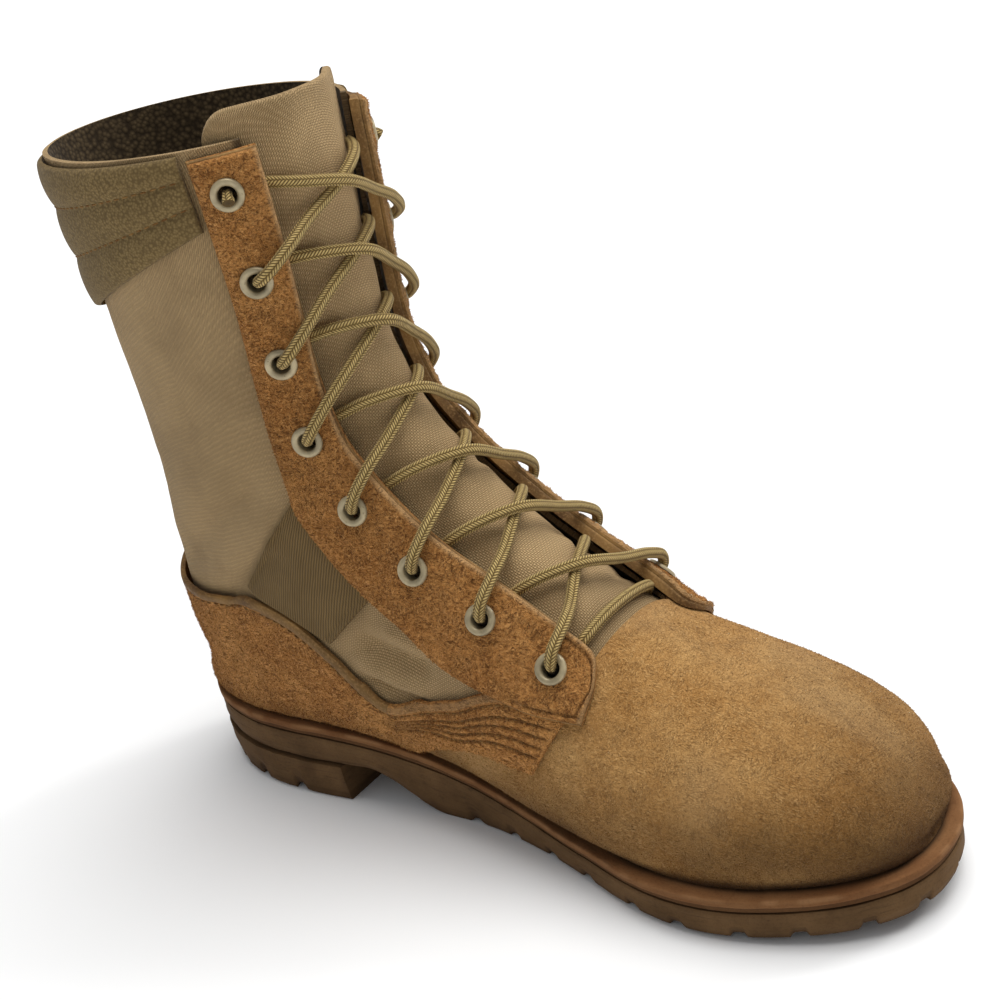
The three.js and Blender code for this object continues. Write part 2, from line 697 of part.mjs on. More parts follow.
function rearEdge(side, v) {
  const rows = EYESTAY_EDGES[side];
  return along(rows, 'rearU', clamp(rowAt(rows, 'rearV', v), 0, rows.length - 1));
}

function wallEdge(side, v) {
  return freeEdge(side, v) + THROAT_SETBACK;
}

// Facings and overlays

const SIDES = { inner: -1, outer: 1 };

// Eyelet centres of one side, from the toe up, at equal pitch along the eyestay
function eyeletPlaces(side) {
  const places = [];
  const step = 0.01;
  let v = EYELET_START[side];
  let travelled = EYELET_PITCH;
  let previous = null;
  while (surface(v, 0).z < BOOT_HEIGHT - EYELET_TOP_MARGIN) {
    const u = SIDES[side] * (freeEdge(side, v) + EYELET_SETBACK / girth(side, v));
    const point = surface(v, u);
    if (previous) travelled += point.distanceTo(previous);
    if (travelled >= EYELET_PITCH) {
      travelled -= EYELET_PITCH;
      places.push({ v, u });
    }
    previous = point;
    v += step;
  }
  return places;
}

// Millimetres round the section for one u, near the free edge
function girth(side, v) {
  const u = SIDES[side] * freeEdge(side, v);
  return surface(v, u + 0.05).distanceTo(surface(v, u - 0.05)) / 0.1;
}

// Frame of an eyelet: its axis stands on the eyestay's outer face
function eyeletMatrix({ v, u }) {
  const face = (a, b) => offset(a, b, eyestayTop({ v: a, u: b }));
  const step = 0.05;
  const dv = face(v + step, u).sub(face(v - step, u));
  const du = face(v, u + step).sub(face(v, u - step));
  const axis = du.cross(dv).normalize();
  const turn = new THREE.Quaternion().setFromUnitVectors(new THREE.Vector3(0, 1, 0), axis);
  return new THREE.Matrix4().compose(face(v, u), turn, new THREE.Vector3(1, 1, 1));
}

// Height of the eyestay's outer face above the surface at an eyelet
function eyestayTop({ v, u }) {
  const side = u < 0 ? 'inner' : 'outer';
  const free = freeEdge(side, v);
  return SEAT + lift((Math.abs(u) - free) / (rearEdge(side, v) - free)) + EYESTAY;
}

// The facing bends away from the throat towards its free edge
function lift(w) {
  return LIP_LIFT * (1 - w) ** 2;
}

function eyestay(side) {
  const rows = EYESTAY_EDGES[side];
  const place = (s, w) => {
    const row = s * (rows.length - 1);
    return {
      v: mix(along(rows, 'freeV', row), along(rows, 'rearV', row), w),
      u: SIDES[side] * mix(along(rows, 'freeU', row), along(rows, 'rearU', row), w),
    };
  };
  let solid = panel(place, 24, 3, (s, w) => SEAT + lift(w), (s, w) => SEAT + lift(w) + EYESTAY);
  eyeletPlaces(side).forEach((spot) => {
    const hole = new THREE.CylinderGeometry(EYELET_BARREL / 2 + GAP, EYELET_BARREL / 2 + GAP, EYESTAY * 4, EYELET_SIDES);
    hole.applyMatrix4(eyeletMatrix(spot));
    solid = solid.subtract(solidOf(hole));
  });
  return solid;
}

const EYELET_SIDES = 8;

function eyelet(place) {
  const bore = EYELET_BORE / 2;
  const barrel = EYELET_BARREL / 2;
  const flange = EYELET_FLANGE / 2;
  const profile = [
    [bore, -EYESTAY + SEAT],
    [barrel, -EYESTAY + SEAT],
    [barrel, SEAT],
    [flange, SEAT],
    [bore, SEAT + EYELET_CROWN],
  ].map(([x, y]) => new THREE.Vector2(x, y));
  const ring = new THREE.LatheGeometry([...profile, profile[0]], EYELET_SIDES);
  ring.applyMatrix4(eyeletMatrix(place));
  return solidOf(ring);
}

const WING_SHIFT = { inner: 0, outer: -0.42 }; // the outer facing starts further forward, in v
const WING_ROWS = 5; // rows of the table that belong to the wing
const WING_MARGIN = 0.02; // wing behind the eyestay's rear edge, in u
const FOXING_FOOT = 0.96; // the foxing stops short of the midsole, in u
const HEEL_CROWDING = 1.3; // above 1, the faces crowd towards the heel

// The faces of the upper's wall round the heel, grown by the clearance
function heelClearance(sign) {
  const place = (s, w) => ({
    v: mix(BACK_START - 2, BACK_START + 1, s),
    u: sign * columnU(FRONT_COLUMNS + w * REAR_COLUMNS),
  });
  return panel(place, 6, REAR_COLUMNS, () => -WALL / 2, () => GAP);
}

function foxing() {
  const last = FOXING_EDGES.length - 1;
  const place = (s, w) => {
    const turn = s * 2 - 1;
    const row = (1 - Math.abs(turn) ** HEEL_CROWDING) * last;
    const sign = turn < 0 ? -1 : 1;
    const side = sign < 0 ? 'inner' : 'outer';
    const ahead = WING_SHIFT[side] * (1 - smooth(row / WING_ROWS));
    const pick = (column) => along(FOXING_EDGES, column, row);
    const topV = pick('topV') + ahead;
    const topU = row < WING_ROWS ? Math.max(pick('topU'), rearEdge(side, topV) + WING_MARGIN) : pick('topU');
    const v = mix(topV, pick('lowV') + ahead, w);
    const limit = mix(FOXING_FOOT, 1, clamp((v - BACK_START) / 0.2, 0, 1));
    return { v, u: sign * Math.min(mix(topU, pick('lowU'), w), limit) };
  };
  const seat = (s) => mix(HEEL_SEAT, SEAT, smooth(Math.abs(s * 2 - 1)));
  const band = panel(place, 50, 5, seat, (s) => seat(s) + FOXING);
  return band.subtract(heelClearance(-1)).subtract(heelClearance(1));
}

function webbing(side) {
  const [top, low] = WEBBING_EDGES;
  const place = (s, w) => ({
    v: mix(mix(top.frontV, top.rearV, s), mix(low.frontV, low.rearV, s), w),
    u: SIDES[side] * mix(mix(top.frontU, top.rearU, s), mix(low.frontU, low.rearU, s), w),
  });
  return overlay(place, 5, 3, () => WEBBING);
}

// Place behind the shaft: round from -1 to 1, with 0 on the back seam
function behind(round) {
  return round < 0 ? -1 - round : 1 - round;
}

const BACKSTAY_HALF = 0.11;
const BACKSTAY_FOOT = 14.3;
const COLLAR_FOOT = 16.1;

function backstay() {
  const place = (s, w) => ({ v: mix(BACKSTAY_FOOT, COLLAR_FOOT - 0.05, s), u: behind(mix(-BACKSTAY_HALF, BACKSTAY_HALF, w)) });
  return overlay(place, 6, 4, () => BACKSTAY);
}

function collar() {
  const rear = EYESTAY_EDGES.inner.at(-1).rearU + 0.02;
  const place = (s, w) => ({ v: mix(COLLAR_FOOT, LAST - 0.03, s), u: behind(mix(rear - 1, 1 - rear, w)) });
  return overlay(place, 2, 24, (s) => COLLAR * (0.7 + 0.3 * Math.sin(Math.PI * s)));
}

const TONGUE_FRONT = 6.65;
const TONGUE_SPREAD = 0.1; // how far the tongue lies under each edge of the wall, in u

// The tongue fills the throat with a low crown
function tongue() {
  const end = LAST + TONGUE_RISE / ABOVE_COLLAR;
  const spot = (s, w) => {
    const v = mix(TONGUE_FRONT, end, s);
    const inner = wallEdge('inner', v) + TONGUE_SPREAD;
    const outer = wallEdge('outer', v) + TONGUE_SPREAD;
    return { v, u: mix(-inner, outer, w) };
  };
  const crown = (s, w) => {
    const v = mix(TONGUE_FRONT, end, s);
    const arch = smooth((0.32 - Math.abs(w - 0.5)) / 0.2);
    return -WALL - GAP * 2.2 + TONGUE_CROWN * arch * smooth((v - THROAT_FRONT - 0.1) / 0.4);
  };
  return panel(spot, 19, 6, (s, w) => crown(s, w) - TONGUE, crown);
}

// Lace

const CORD_SIDES = 6;
const CORD_STEPS = 6;

function cord(points) {
  const curve = new THREE.CatmullRomCurve3(points, false, 'centripetal');
  const section = new THREE.Shape();
  for (let i = 0; i < CORD_SIDES; i += 1) {
    const angle = (i / CORD_SIDES) * Math.PI * 2;
    section[i ? 'lineTo' : 'moveTo']((LACE / 2) * Math.cos(angle), (LACE / 2) * Math.sin(angle));
  }
  section.closePath();
  const settings = { steps: CORD_STEPS, extrudePath: curve, bevelEnabled: false };
  return solidOf(new THREE.ExtrudeGeometry(section, settings));
}

const ON_TONGUE = -GAP + LACE / 2; // centre of a cord that lies on the tongue's crown
const LIP_CLEAR = 0.045; // end of a leg before the free edge, in u
const BAR_DROP = 1.8; // the lowest bar lies in front of the tongue's crown

// Straight bar between the lowest eyelets, just behind the vamp's edge
function laceBar() {
  const points = [-1, -0.5, 0, 0.5, 1].map((side) => {
    const v = THROAT_FRONT + 0.22;
    const reach = side < 0 ? freeEdge('inner', v) : freeEdge('outer', v);
    return offset(v, side * (reach - LIP_CLEAR), ON_TONGUE - BAR_DROP);
  });
  return cord(points);
}

// One leg: from on top of an eyelet, over the free edge, across the tongue, to the next pair
function laceLeg(from, to, height) {
  const fromSide = from.u < 0 ? 'inner' : 'outer';
  const toSide = to.u < 0 ? 'inner' : 'outer';
  const sign = SIDES[fromSide];
  const onEyelet = eyestayTop(from) + SEAT + EYELET_CROWN + LACE / 2 + GAP * 2;
  const overEdge = SEAT + LIP_LIFT + EYESTAY + LACE / 2 + GAP;
  const step = (t) => mix(from.v, to.v, t);
  return cord([
    offset(from.v, from.u, onEyelet),
    offset(step(0.14), sign * freeEdge(fromSide, step(0.14)), overEdge + 0.4),
    offset(step(0.5), 0.01, height),
    offset(step(0.88), -sign * (freeEdge(toSide, step(0.88)) - LIP_CLEAR), ON_TONGUE + GAP * 2),
  ]);
}

function laceCrossing(inner, outer, index) {
  const low = ON_TONGUE + GAP * 2.5;
  const high = low + LACE * 0.86;
  return laceLeg(inner[index], outer[index + 1], low).add(laceLeg(outer[index], inner[index + 1], high));
}

// Assembly

const boot = new THREE.Group();
boot.add(
  piece('outsole', outsole(), 'outsole'),
  piece('heel', heel(), 'outsole'),
  piece('midsole', midsole(), 'midsole'),
  piece('insole', insole(), 'lining'),
  piece('upper', upper(), 'suede'),
  piece('foxing', foxing(), 'roughSuede'),
  piece('backstay', backstay(), 'roughSuede'),
  piece('collar', collar(), 'nylon'),
  piece('tongue', tongue(), 'nylon'),
  piece('lace_bar', laceBar(), 'lace'),
);
const label = { inner: 'medial', outer: 'lateral' };
const places = { inner: eyeletPlaces('inner'), outer: eyeletPlaces('outer') };
const pairs = Math.min(places.inner.length, places.outer.length);
Object.keys(SIDES).forEach((side) => {
  boot.add(piece(`eyestay_${label[side]}`, eyestay(side), 'roughSuede'));
  boot.add(piece(`webbing_${label[side]}`, webbing(side), 'nylon'));
  places[side].slice(0, pairs).forEach((place, i) => {
    boot.add(piece(`eyelet_${label[side]}_${i + 1}`, eyelet(place), 'eyelet'));
  });
});
for (let i = 0; i + 1 < pairs; i += 1) {
  boot.add(piece(`lace_crossing_${i + 1}`, laceCrossing(places.inner, places.outer, i), 'lace'));
}

// The origin is the middle of the boot's footprint, on the ground
const bounds = new THREE.Box3().setFromObject(boot);
boot.position.set(-(bounds.min.x + bounds.max.x) / 2, -(bounds.min.y + bounds.max.y) / 2, -bounds.min.z);

const model = new THREE.Group();
model.add(boot);
export default model;
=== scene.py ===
"""Combat boot, left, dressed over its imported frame.

Suede vamp and facings, woven nylon quarters and tongue, a moulded rubber sole, painted eyelets and
a braided lace. Sizes are millimetres until a mesh is made; Blender's are metres.
"""

import json
import logging
from dataclasses import dataclass
from enum import Enum
from typing import Callable, Iterable, Sequence

import bpy
import numpy as np
from mathutils import Matrix, Vector

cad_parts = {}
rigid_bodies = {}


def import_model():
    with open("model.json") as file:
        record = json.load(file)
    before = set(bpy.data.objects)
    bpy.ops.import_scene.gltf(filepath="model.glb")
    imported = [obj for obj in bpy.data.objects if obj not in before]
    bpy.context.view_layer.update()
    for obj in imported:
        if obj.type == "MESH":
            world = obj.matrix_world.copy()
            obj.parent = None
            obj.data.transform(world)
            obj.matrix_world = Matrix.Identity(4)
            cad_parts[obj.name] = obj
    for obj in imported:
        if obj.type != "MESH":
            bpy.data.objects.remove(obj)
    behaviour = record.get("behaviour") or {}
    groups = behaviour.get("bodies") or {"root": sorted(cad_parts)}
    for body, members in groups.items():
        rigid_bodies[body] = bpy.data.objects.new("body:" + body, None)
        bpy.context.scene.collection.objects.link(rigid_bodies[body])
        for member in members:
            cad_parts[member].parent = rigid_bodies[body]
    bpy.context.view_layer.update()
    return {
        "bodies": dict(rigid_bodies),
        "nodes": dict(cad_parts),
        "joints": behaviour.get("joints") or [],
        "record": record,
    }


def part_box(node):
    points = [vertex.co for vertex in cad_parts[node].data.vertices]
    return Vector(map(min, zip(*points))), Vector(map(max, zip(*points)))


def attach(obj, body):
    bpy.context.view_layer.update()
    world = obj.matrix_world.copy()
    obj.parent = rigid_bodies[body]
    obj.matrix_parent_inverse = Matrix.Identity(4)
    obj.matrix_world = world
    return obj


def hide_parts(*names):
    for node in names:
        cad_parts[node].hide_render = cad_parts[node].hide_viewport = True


log = logging.getLogger("boot")
Array = np.ndarray
Socket = bpy.types.NodeSocket
Material = bpy.types.Material
Object = bpy.types.Object
MM = 0.001

# Driving sizes, in millimetres, as the solids have them
SOLE_LENGTH = 308.0
BALL_WIDTH = 110.0
INSTEP_RISE = 111.5
SHAFT_HEIGHT = 123.0
COLLAR_WIDTH = 93.0
HEEL_EDGE = 33.0
FORE_EDGE = 15.5
TOE_SPRING = 6.0
TIP_OFFSET = 3.3
SHELF = 6.0
MIDSOLE = 5.0
MIDSOLE_LIP = 2.6
LIP_STEP = 1.2
OUTSOLE_INSET = 0.5
OUTSOLE_DRAFT = 1.2
HEEL_BLOCK = 16.0
LUG_DEPTH = 3.0
LUG_PITCH = 20.0
LUG_NOTCH = 5.0
LUG_REACH = 13.0
CHEVRON_WIDTH = 9.0
GAP = 0.3
SEAT = 0.6
WALL = 2.2
EYESTAY = 4.5
LIP_LIFT = 1.2
WEBBING = 1.6
BACKSTAY = 1.8
TONGUE = 3.0
TONGUE_CROWN = 2.0
TONGUE_RISE = 9.0
EYELET_FLANGE = 11.5
EYELET_BORE = 5.6
EYELET_BARREL = 7.0
EYELET_CROWN = 1.1
EYELET_PITCH = 29.0
EYELET_SETBACK = 11.5
EYELET_TOP_MARGIN = 9.0
LACE = 4.1
BOOT_HEIGHT = FORE_EDGE + INSTEP_RISE + SHAFT_HEIGHT
BACK_HEIGHT = BOOT_HEIGHT - HEEL_EDGE

# Sole outline: share of the length, outer and inner share of the ball width
OUTLINE = (
    (0, 0, 0),
    (0.02, 0.165, 0.165),
    (0.065, 0.275, 0.275),
    (0.13, 0.345, 0.335),
    (0.2, 0.365, 0.345),
    (0.27, 0.382, 0.33),
    (0.36, 0.405, 0.295),
    (0.45, 0.44, 0.28),
    (0.54, 0.488, 0.314),
    (0.63, 0.529, 0.383),
    (0.7, 0.538, 0.442),
    (0.76, 0.522, 0.465),
    (0.82, 0.482, 0.452),
    (0.88, 0.41, 0.402),
    (0.935, 0.3, 0.327),
    (0.975, 0.18, 0.232),
    (0.995, 0.066, 0.13),
)

# Sections of the foot, toe tip to ankle bend: along, up, foot, outer, inner, ridge, widest
FOOT = (
    (0.977, 0.049, 0, -0.03, 0.03, -0.03, 0.6),
    (0.978, 0.117, 0.05, 0.155, 0.173, -0.036, 0.6),
    (0.964, 0.206, 0.1, 0.236, 0.255, -0.041, 0.62),
    (0.932, 0.287, 0.155, 0.309, 0.323, -0.041, 0.64),
    (0.88, 0.35, 0.215, 0.373, 0.377, -0.041, 0.66),
    (0.815, 0.404, 0.285, 0.427, 0.418, -0.036, 0.68),
    (0.74, 0.462, 0.365, 0.455, 0.414, -0.027, 0.69),
    (0.659, 0.556, 0.45, 0.459, 0.377, -0.014, 0.68),
    (0.584, 0.7, 0.54, 0.441, 0.341, -0.005, 0.66),
    (0.519, 0.848, 0.64, 0.418, 0.327, 0.005, 0.64),
    (0.468, 1, 0.74, 0.395, 0.327, 0.009, 0.62),
)

# Sections of the shaft: along, up, foot, rise, back, outer, inner, ridge, widest
SHAFT = (
    (0.43, 0.142, 0.86, 0, 0.021, 0.441, 0.392, 0.011, 0.58),
    (0.407, 0.28, 1, 0, 0.018, 0.425, 0.398, 0.005, 0.55),
    (0.394, 0.423, 1, 0.12, 0.008, 0.414, 0.403, 0, 0.53),
    (0.39, 0.569, 1, 0.267, 0.018, 0.425, 0.419, 0, 0.52),
    (0.388, 0.715, 1, 0.452, 0.037, 0.446, 0.446, 0, 0.5),
    (0.388, 0.858, 1, 0.691, 0.037, 0.473, 0.473, 0, 0.5),
    (0.39, 1, 1, 1, 0.016, 0.5, 0.5, 0, 0.5),
)

# Free and rear edges of the eyestays: free v, free u, rear v, rear u, front to collar
EYESTAY_EDGES = {
    "inner": (
        (6.9, 0.205, 6.76, 0.36),
        (7.15, 0.168, 7.0, 0.387),
        (7.8, 0.178, 7.6, 0.44),
        (8.7, 0.196, 8.5, 0.48),
        (9.65, 0.22, 9.3, 0.464),
        (11, 0.225, 10.45, 0.44),
        (12.5, 0.225, 12, 0.4),
        (14, 0.215, 14, 0.385),
        (15.5, 0.205, 15.5, 0.375),
        (16.9, 0.2, 16.9, 0.365),
    ),
    "outer": (
        (6.62, 0.225, 6.62, 0.385),
        (6.88, 0.205, 6.8, 0.412),
        (7.6, 0.245, 7.35, 0.475),
        (8.5, 0.265, 8.3, 0.505),
        (9.6, 0.245, 9.25, 0.475),
        (11, 0.225, 10.45, 0.44),
        (12.5, 0.225, 12, 0.4),
        (14, 0.215, 14, 0.385),
        (15.5, 0.205, 15.5, 0.375),
        (16.9, 0.2, 16.9, 0.365),
    ),
}
EYELET_START = {"inner": 7.39, "outer": 7.42}

# Upper and lower edge of the foxing: top v, top u, low v, low u, from the wing's front to the heel
FOXING_EDGES = (
    (6.95, 0.41, 7.08, 0.58),
    (7.5, 0.457, 7.46, 0.612),
    (8.05, 0.497, 7.83, 0.645),
    (8.45, 0.555, 8.27, 0.72),
    (8.78, 0.616, 8.56, 0.81),
    (9.16, 0.682, 8.8, 0.93),
    (9.6, 0.665, 9.1, 0.99),
    (10.11, 0.628, 9.6, 1),
    (10.9, 0.605, 10.2, 1),
    (11.7, 0.625, 10.9, 1),
    (12.7, 0.72, 11.6, 1),
    (13.6, 0.87, 11.95, 1),
    (14.1, 1, 12.15, 1),
)

# Ankle webbing: front v, front u, rear v, rear u, from the eyestay down to the foxing
WEBBING_EDGES = (
    (9.95, 0.475, 11.9, 0.425),
    (10.2, 0.6, 11.75, 0.6),
)

LAST = len(FOOT) + len(SHAFT) - 1
BACK_START = len(FOOT) + 1
THROAT_FRONT = 7.1
THROAT_SETBACK = 0.03
SIDE_BREAK = 0.62
FOOT_NORMAL = 0.9
LEVEL_FROM = 0.7
TIP_ROWS = 0.4
SEAM_BLEND = 15.0
ABOVE_COLLAR = 15.0
FEATHER_STEPS = 6
SOLE_RAMP_START = 0.23 * SOLE_LENGTH
SOLE_RAMP = 0.39 * SOLE_LENGTH
SPRING_START = 0.7 * SOLE_LENGTH
HEEL_BREAST = 0.27 * SOLE_LENGTH
ARCH_START = 0.3 * SOLE_LENGTH
ARCH_END = 0.41 * SOLE_LENGTH


class Side(Enum):
    """The two sides of the boot, with the sign of their u and the word in the nodes' names."""

    INNER = ("inner", -1.0, "medial")
    OUTER = ("outer", 1.0, "lateral")

    @property
    def key(self) -> str:
        """Name of the side in the tables."""
        return self.value[0]

    @property
    def sign(self) -> float:
        """Sign of u on this side."""
        return self.value[1]

    @property
    def label(self) -> str:
        """Name of the side in the nodes' names."""
        return self.value[2]


def smooth(value: Array) -> Array:
    """Soft step from 0 to 1."""
    t = np.clip(value, 0, 1)
    return t * t * (3 - 2 * t)


def mix(a: Array, b: Array, t: Array) -> Array:
    """Straight blend of two values."""
    return a + (b - a) * t


def catmull(a: Array, b: Array, c: Array, d: Array, t: Array) -> Array:
    """Catmull-Rom curve between b and c."""
    cube = (3 * b - a - 3 * c + d) * t**3
    return 0.5 * (2 * b + (c - a) * t + (2 * a - 5 * b + 4 * c - d) * t**2 + cube)


def along(values: Sequence[float], place: Array) -> Array:
    """Value of one table column at fractional rows.

    Args:
        values: The column, a value for each row.
        place: Rows, with fractions.

    Returns:
        The smooth curve through the column at those rows.
    """
    column = np.asarray(values, float)
    place = np.asarray(place, float)
    row = np.clip(np.floor(place).astype(int), 0, len(column) - 2)
    ends = (2 * column[0] - column[1], 2 * column[-1] - column[-2])
    padded = np.concatenate([[ends[0]], column, [ends[1]]])
    return catmull(padded[row], padded[row + 1], padded[row + 2], padded[row + 3], place - row)


def row_at(values: Sequence[float], value: Array) -> Array:
    """Fractional row at which a rising column passes a value, clamped to the table."""
    return np.interp(value, values, np.arange(len(values)))


def spring(x: Array) -> Array:
    """Height that the toe spring adds at x."""
    return TOE_SPRING * np.maximum((x - SPRING_START) / (SOLE_LENGTH - SPRING_START), 0) ** 2


def sole_top(x: Array) -> Array:
    """Top of the midsole at x."""
    return mix(HEEL_EDGE, FORE_EDGE, smooth((x - SOLE_RAMP_START) / SOLE_RAMP)) + spring(x)


def outsole_under(x: Array) -> Array:
    """Underside of the outsole at x."""
    return HEEL_BLOCK * (1 - smooth((x - ARCH_START) / (ARCH_END - ARCH_START))) + spring(x)


def outline(inset: float, per_row: int) -> Array:
    """Closed outline of the sole, moved inwards.

    Args:
        inset: Distance inwards.
        per_row: Points for each row of the table.

    Returns:
        Points, from the heel's back over the outer side, the toe and the inner side.
    """
    table = np.array(OUTLINE, float)
    outer = np.column_stack([table[:, 0] * SOLE_LENGTH, table[:, 1] * BALL_WIDTH])
    inner = np.column_stack([table[1:, 0] * SOLE_LENGTH, -table[1:, 2] * BALL_WIDTH])
    points = np.concatenate([outer, [[SOLE_LENGTH, -TIP_OFFSET]], inner[::-1]])
    count = len(points)

    def at(place: Array) -> Array:
        place = place % count
        row = np.floor(place).astype(int)
        picked = [points[(row + step) % count] for step in (-1, 0, 1, 2)]
        return catmull(*picked, (place - row)[:, None])

    place = np.arange(count * per_row) / per_row
    ahead = at(place + 0.5 / per_row) - at(place - 0.5 / per_row)
    ahead /= np.linalg.norm(ahead, axis=1)[:, None]
    return at(place) + np.column_stack([ahead[:, 1], -ahead[:, 0]]) * inset


class Noise:
    """Smooth lattice noise with a fixed seed."""

    def __init__(self, seed: int) -> None:
        """Fills the lattice.

        Args:
            seed: Seed of the lattice's values.
        """
        self.cells = 32
        self.lattice = np.random.default_rng(seed).uniform(-1, 1, (self.cells,) * 3)

    def at(self, points: Array, size: float) -> Array:
        """Noise at points.

        Args:
            points: Points, in millimetres.
            size: Size of one patch, in millimetres.

        Returns:
            A value from -1 to 1 for each point.
        """
        place = points / size
        low = np.floor(place).astype(int)
        part = smooth(place - low)
        total = np.zeros(points.shape[:-1])
        for corner in np.ndindex(2, 2, 2):
            index = (low + corner) % self.cells
            weight = np.prod(np.where(np.array(corner) == 1, part, 1 - part), axis=-1)
            total += weight * self.lattice[index[..., 0], index[..., 1], index[..., 2]]
        return total


@dataclass(frozen=True)
class Crease:
    """A soft trough or ridge between two places on the form, bowed through a third.

    Depth is negative for a trough. Depth and width are millimetres.
    """

    start: tuple[float, float]
    via: tuple[float, float]
    end: tuple[float, float]
    depth: float
    width: float


CREASES = (
    # flex lines over the ball, soft in the thick suede
    Crease((6.35, -0.42), (6.1, -0.1), (6.3, 0.3), -0.8, 5),
    Crease((5.95, -0.5), (5.72, -0.2), (5.85, 0.15), -0.5, 5.5),
    Crease((6.15, -0.55), (5.95, -0.15), (6.1, 0.4), 0.5, 6),
    Crease((5.3, -0.5), (5.1, -0.3), (5.2, -0.05), -0.35, 7),
    # pinch beside the outer facing
    Crease((6.62, 0.17), (6.5, 0.23), (6.3, 0.3), -1.6, 2.6),
    Crease((6.72, 0.1), (6.55, 0.16), (6.35, 0.22), 0.8, 4),
    # toe box, slightly sunk on the inner side
    Crease((3.3, -0.35), (3.6, -0.2), (4.3, -0.1), -0.5, 9),
    # two deep folds in the inner quarter between facing, wing and webbing
    Crease((10.0, -0.56), (9.35, -0.55), (8.72, -0.5), -4.0, 3.6),
    Crease((9.95, -0.61), (9.3, -0.61), (8.6, -0.56), 2.6, 3.6),
    Crease((9.75, -0.65), (9.15, -0.645), (8.55, -0.6), -2.9, 2.6),
    Crease((9.8, -0.5), (9.3, -0.5), (8.9, -0.485), 1.6, 3.2),
    # the same on the outer side
    Crease((9.95, 0.57), (9.3, 0.57), (8.6, 0.52), -2.2, 4.5),
    Crease((9.8, 0.64), (9.2, 0.63), (8.5, 0.58), 1.2, 4.5),
    # folds of the ankle, both sides
    Crease((11.3, -0.47), (11.9, -0.6), (12.5, -0.8), -2.0, 5),
    Crease((11.7, -0.45), (12.3, -0.58), (12.9, -0.78), 1.3, 5.5),
    Crease((12.6, -0.44), (13.0, -0.6), (13.6, -0.82), -1.7, 5),
    Crease((13.3, -0.44), (13.6, -0.62), (14.1, -0.86), 0.9, 6),
    Crease((14.4, -0.5), (14.5, -0.66), (14.7, -0.84), -0.9, 6),
    Crease((11.2, 0.48), (11.8, 0.62), (12.4, 0.82), -2.2, 5),
    Crease((11.8, 0.46), (12.3, 0.6), (12.9, 0.8), 1.3, 5.5),
    Crease((12.5, 0.44), (13.1, 0.62), (13.5, 0.84), -1.6, 5),
    Crease((13.9, 0.46), (14.0, 0.62), (14.4, 0.86), -1.1, 6),
    # back of the shaft
    Crease((14.2, -0.86), (14.0, -0.96), (14.1, -1.0), -0.7, 5),
    Crease((14.2, 0.86), (14.0, 0.96), (14.1, 1.0), -0.7, 5),
)


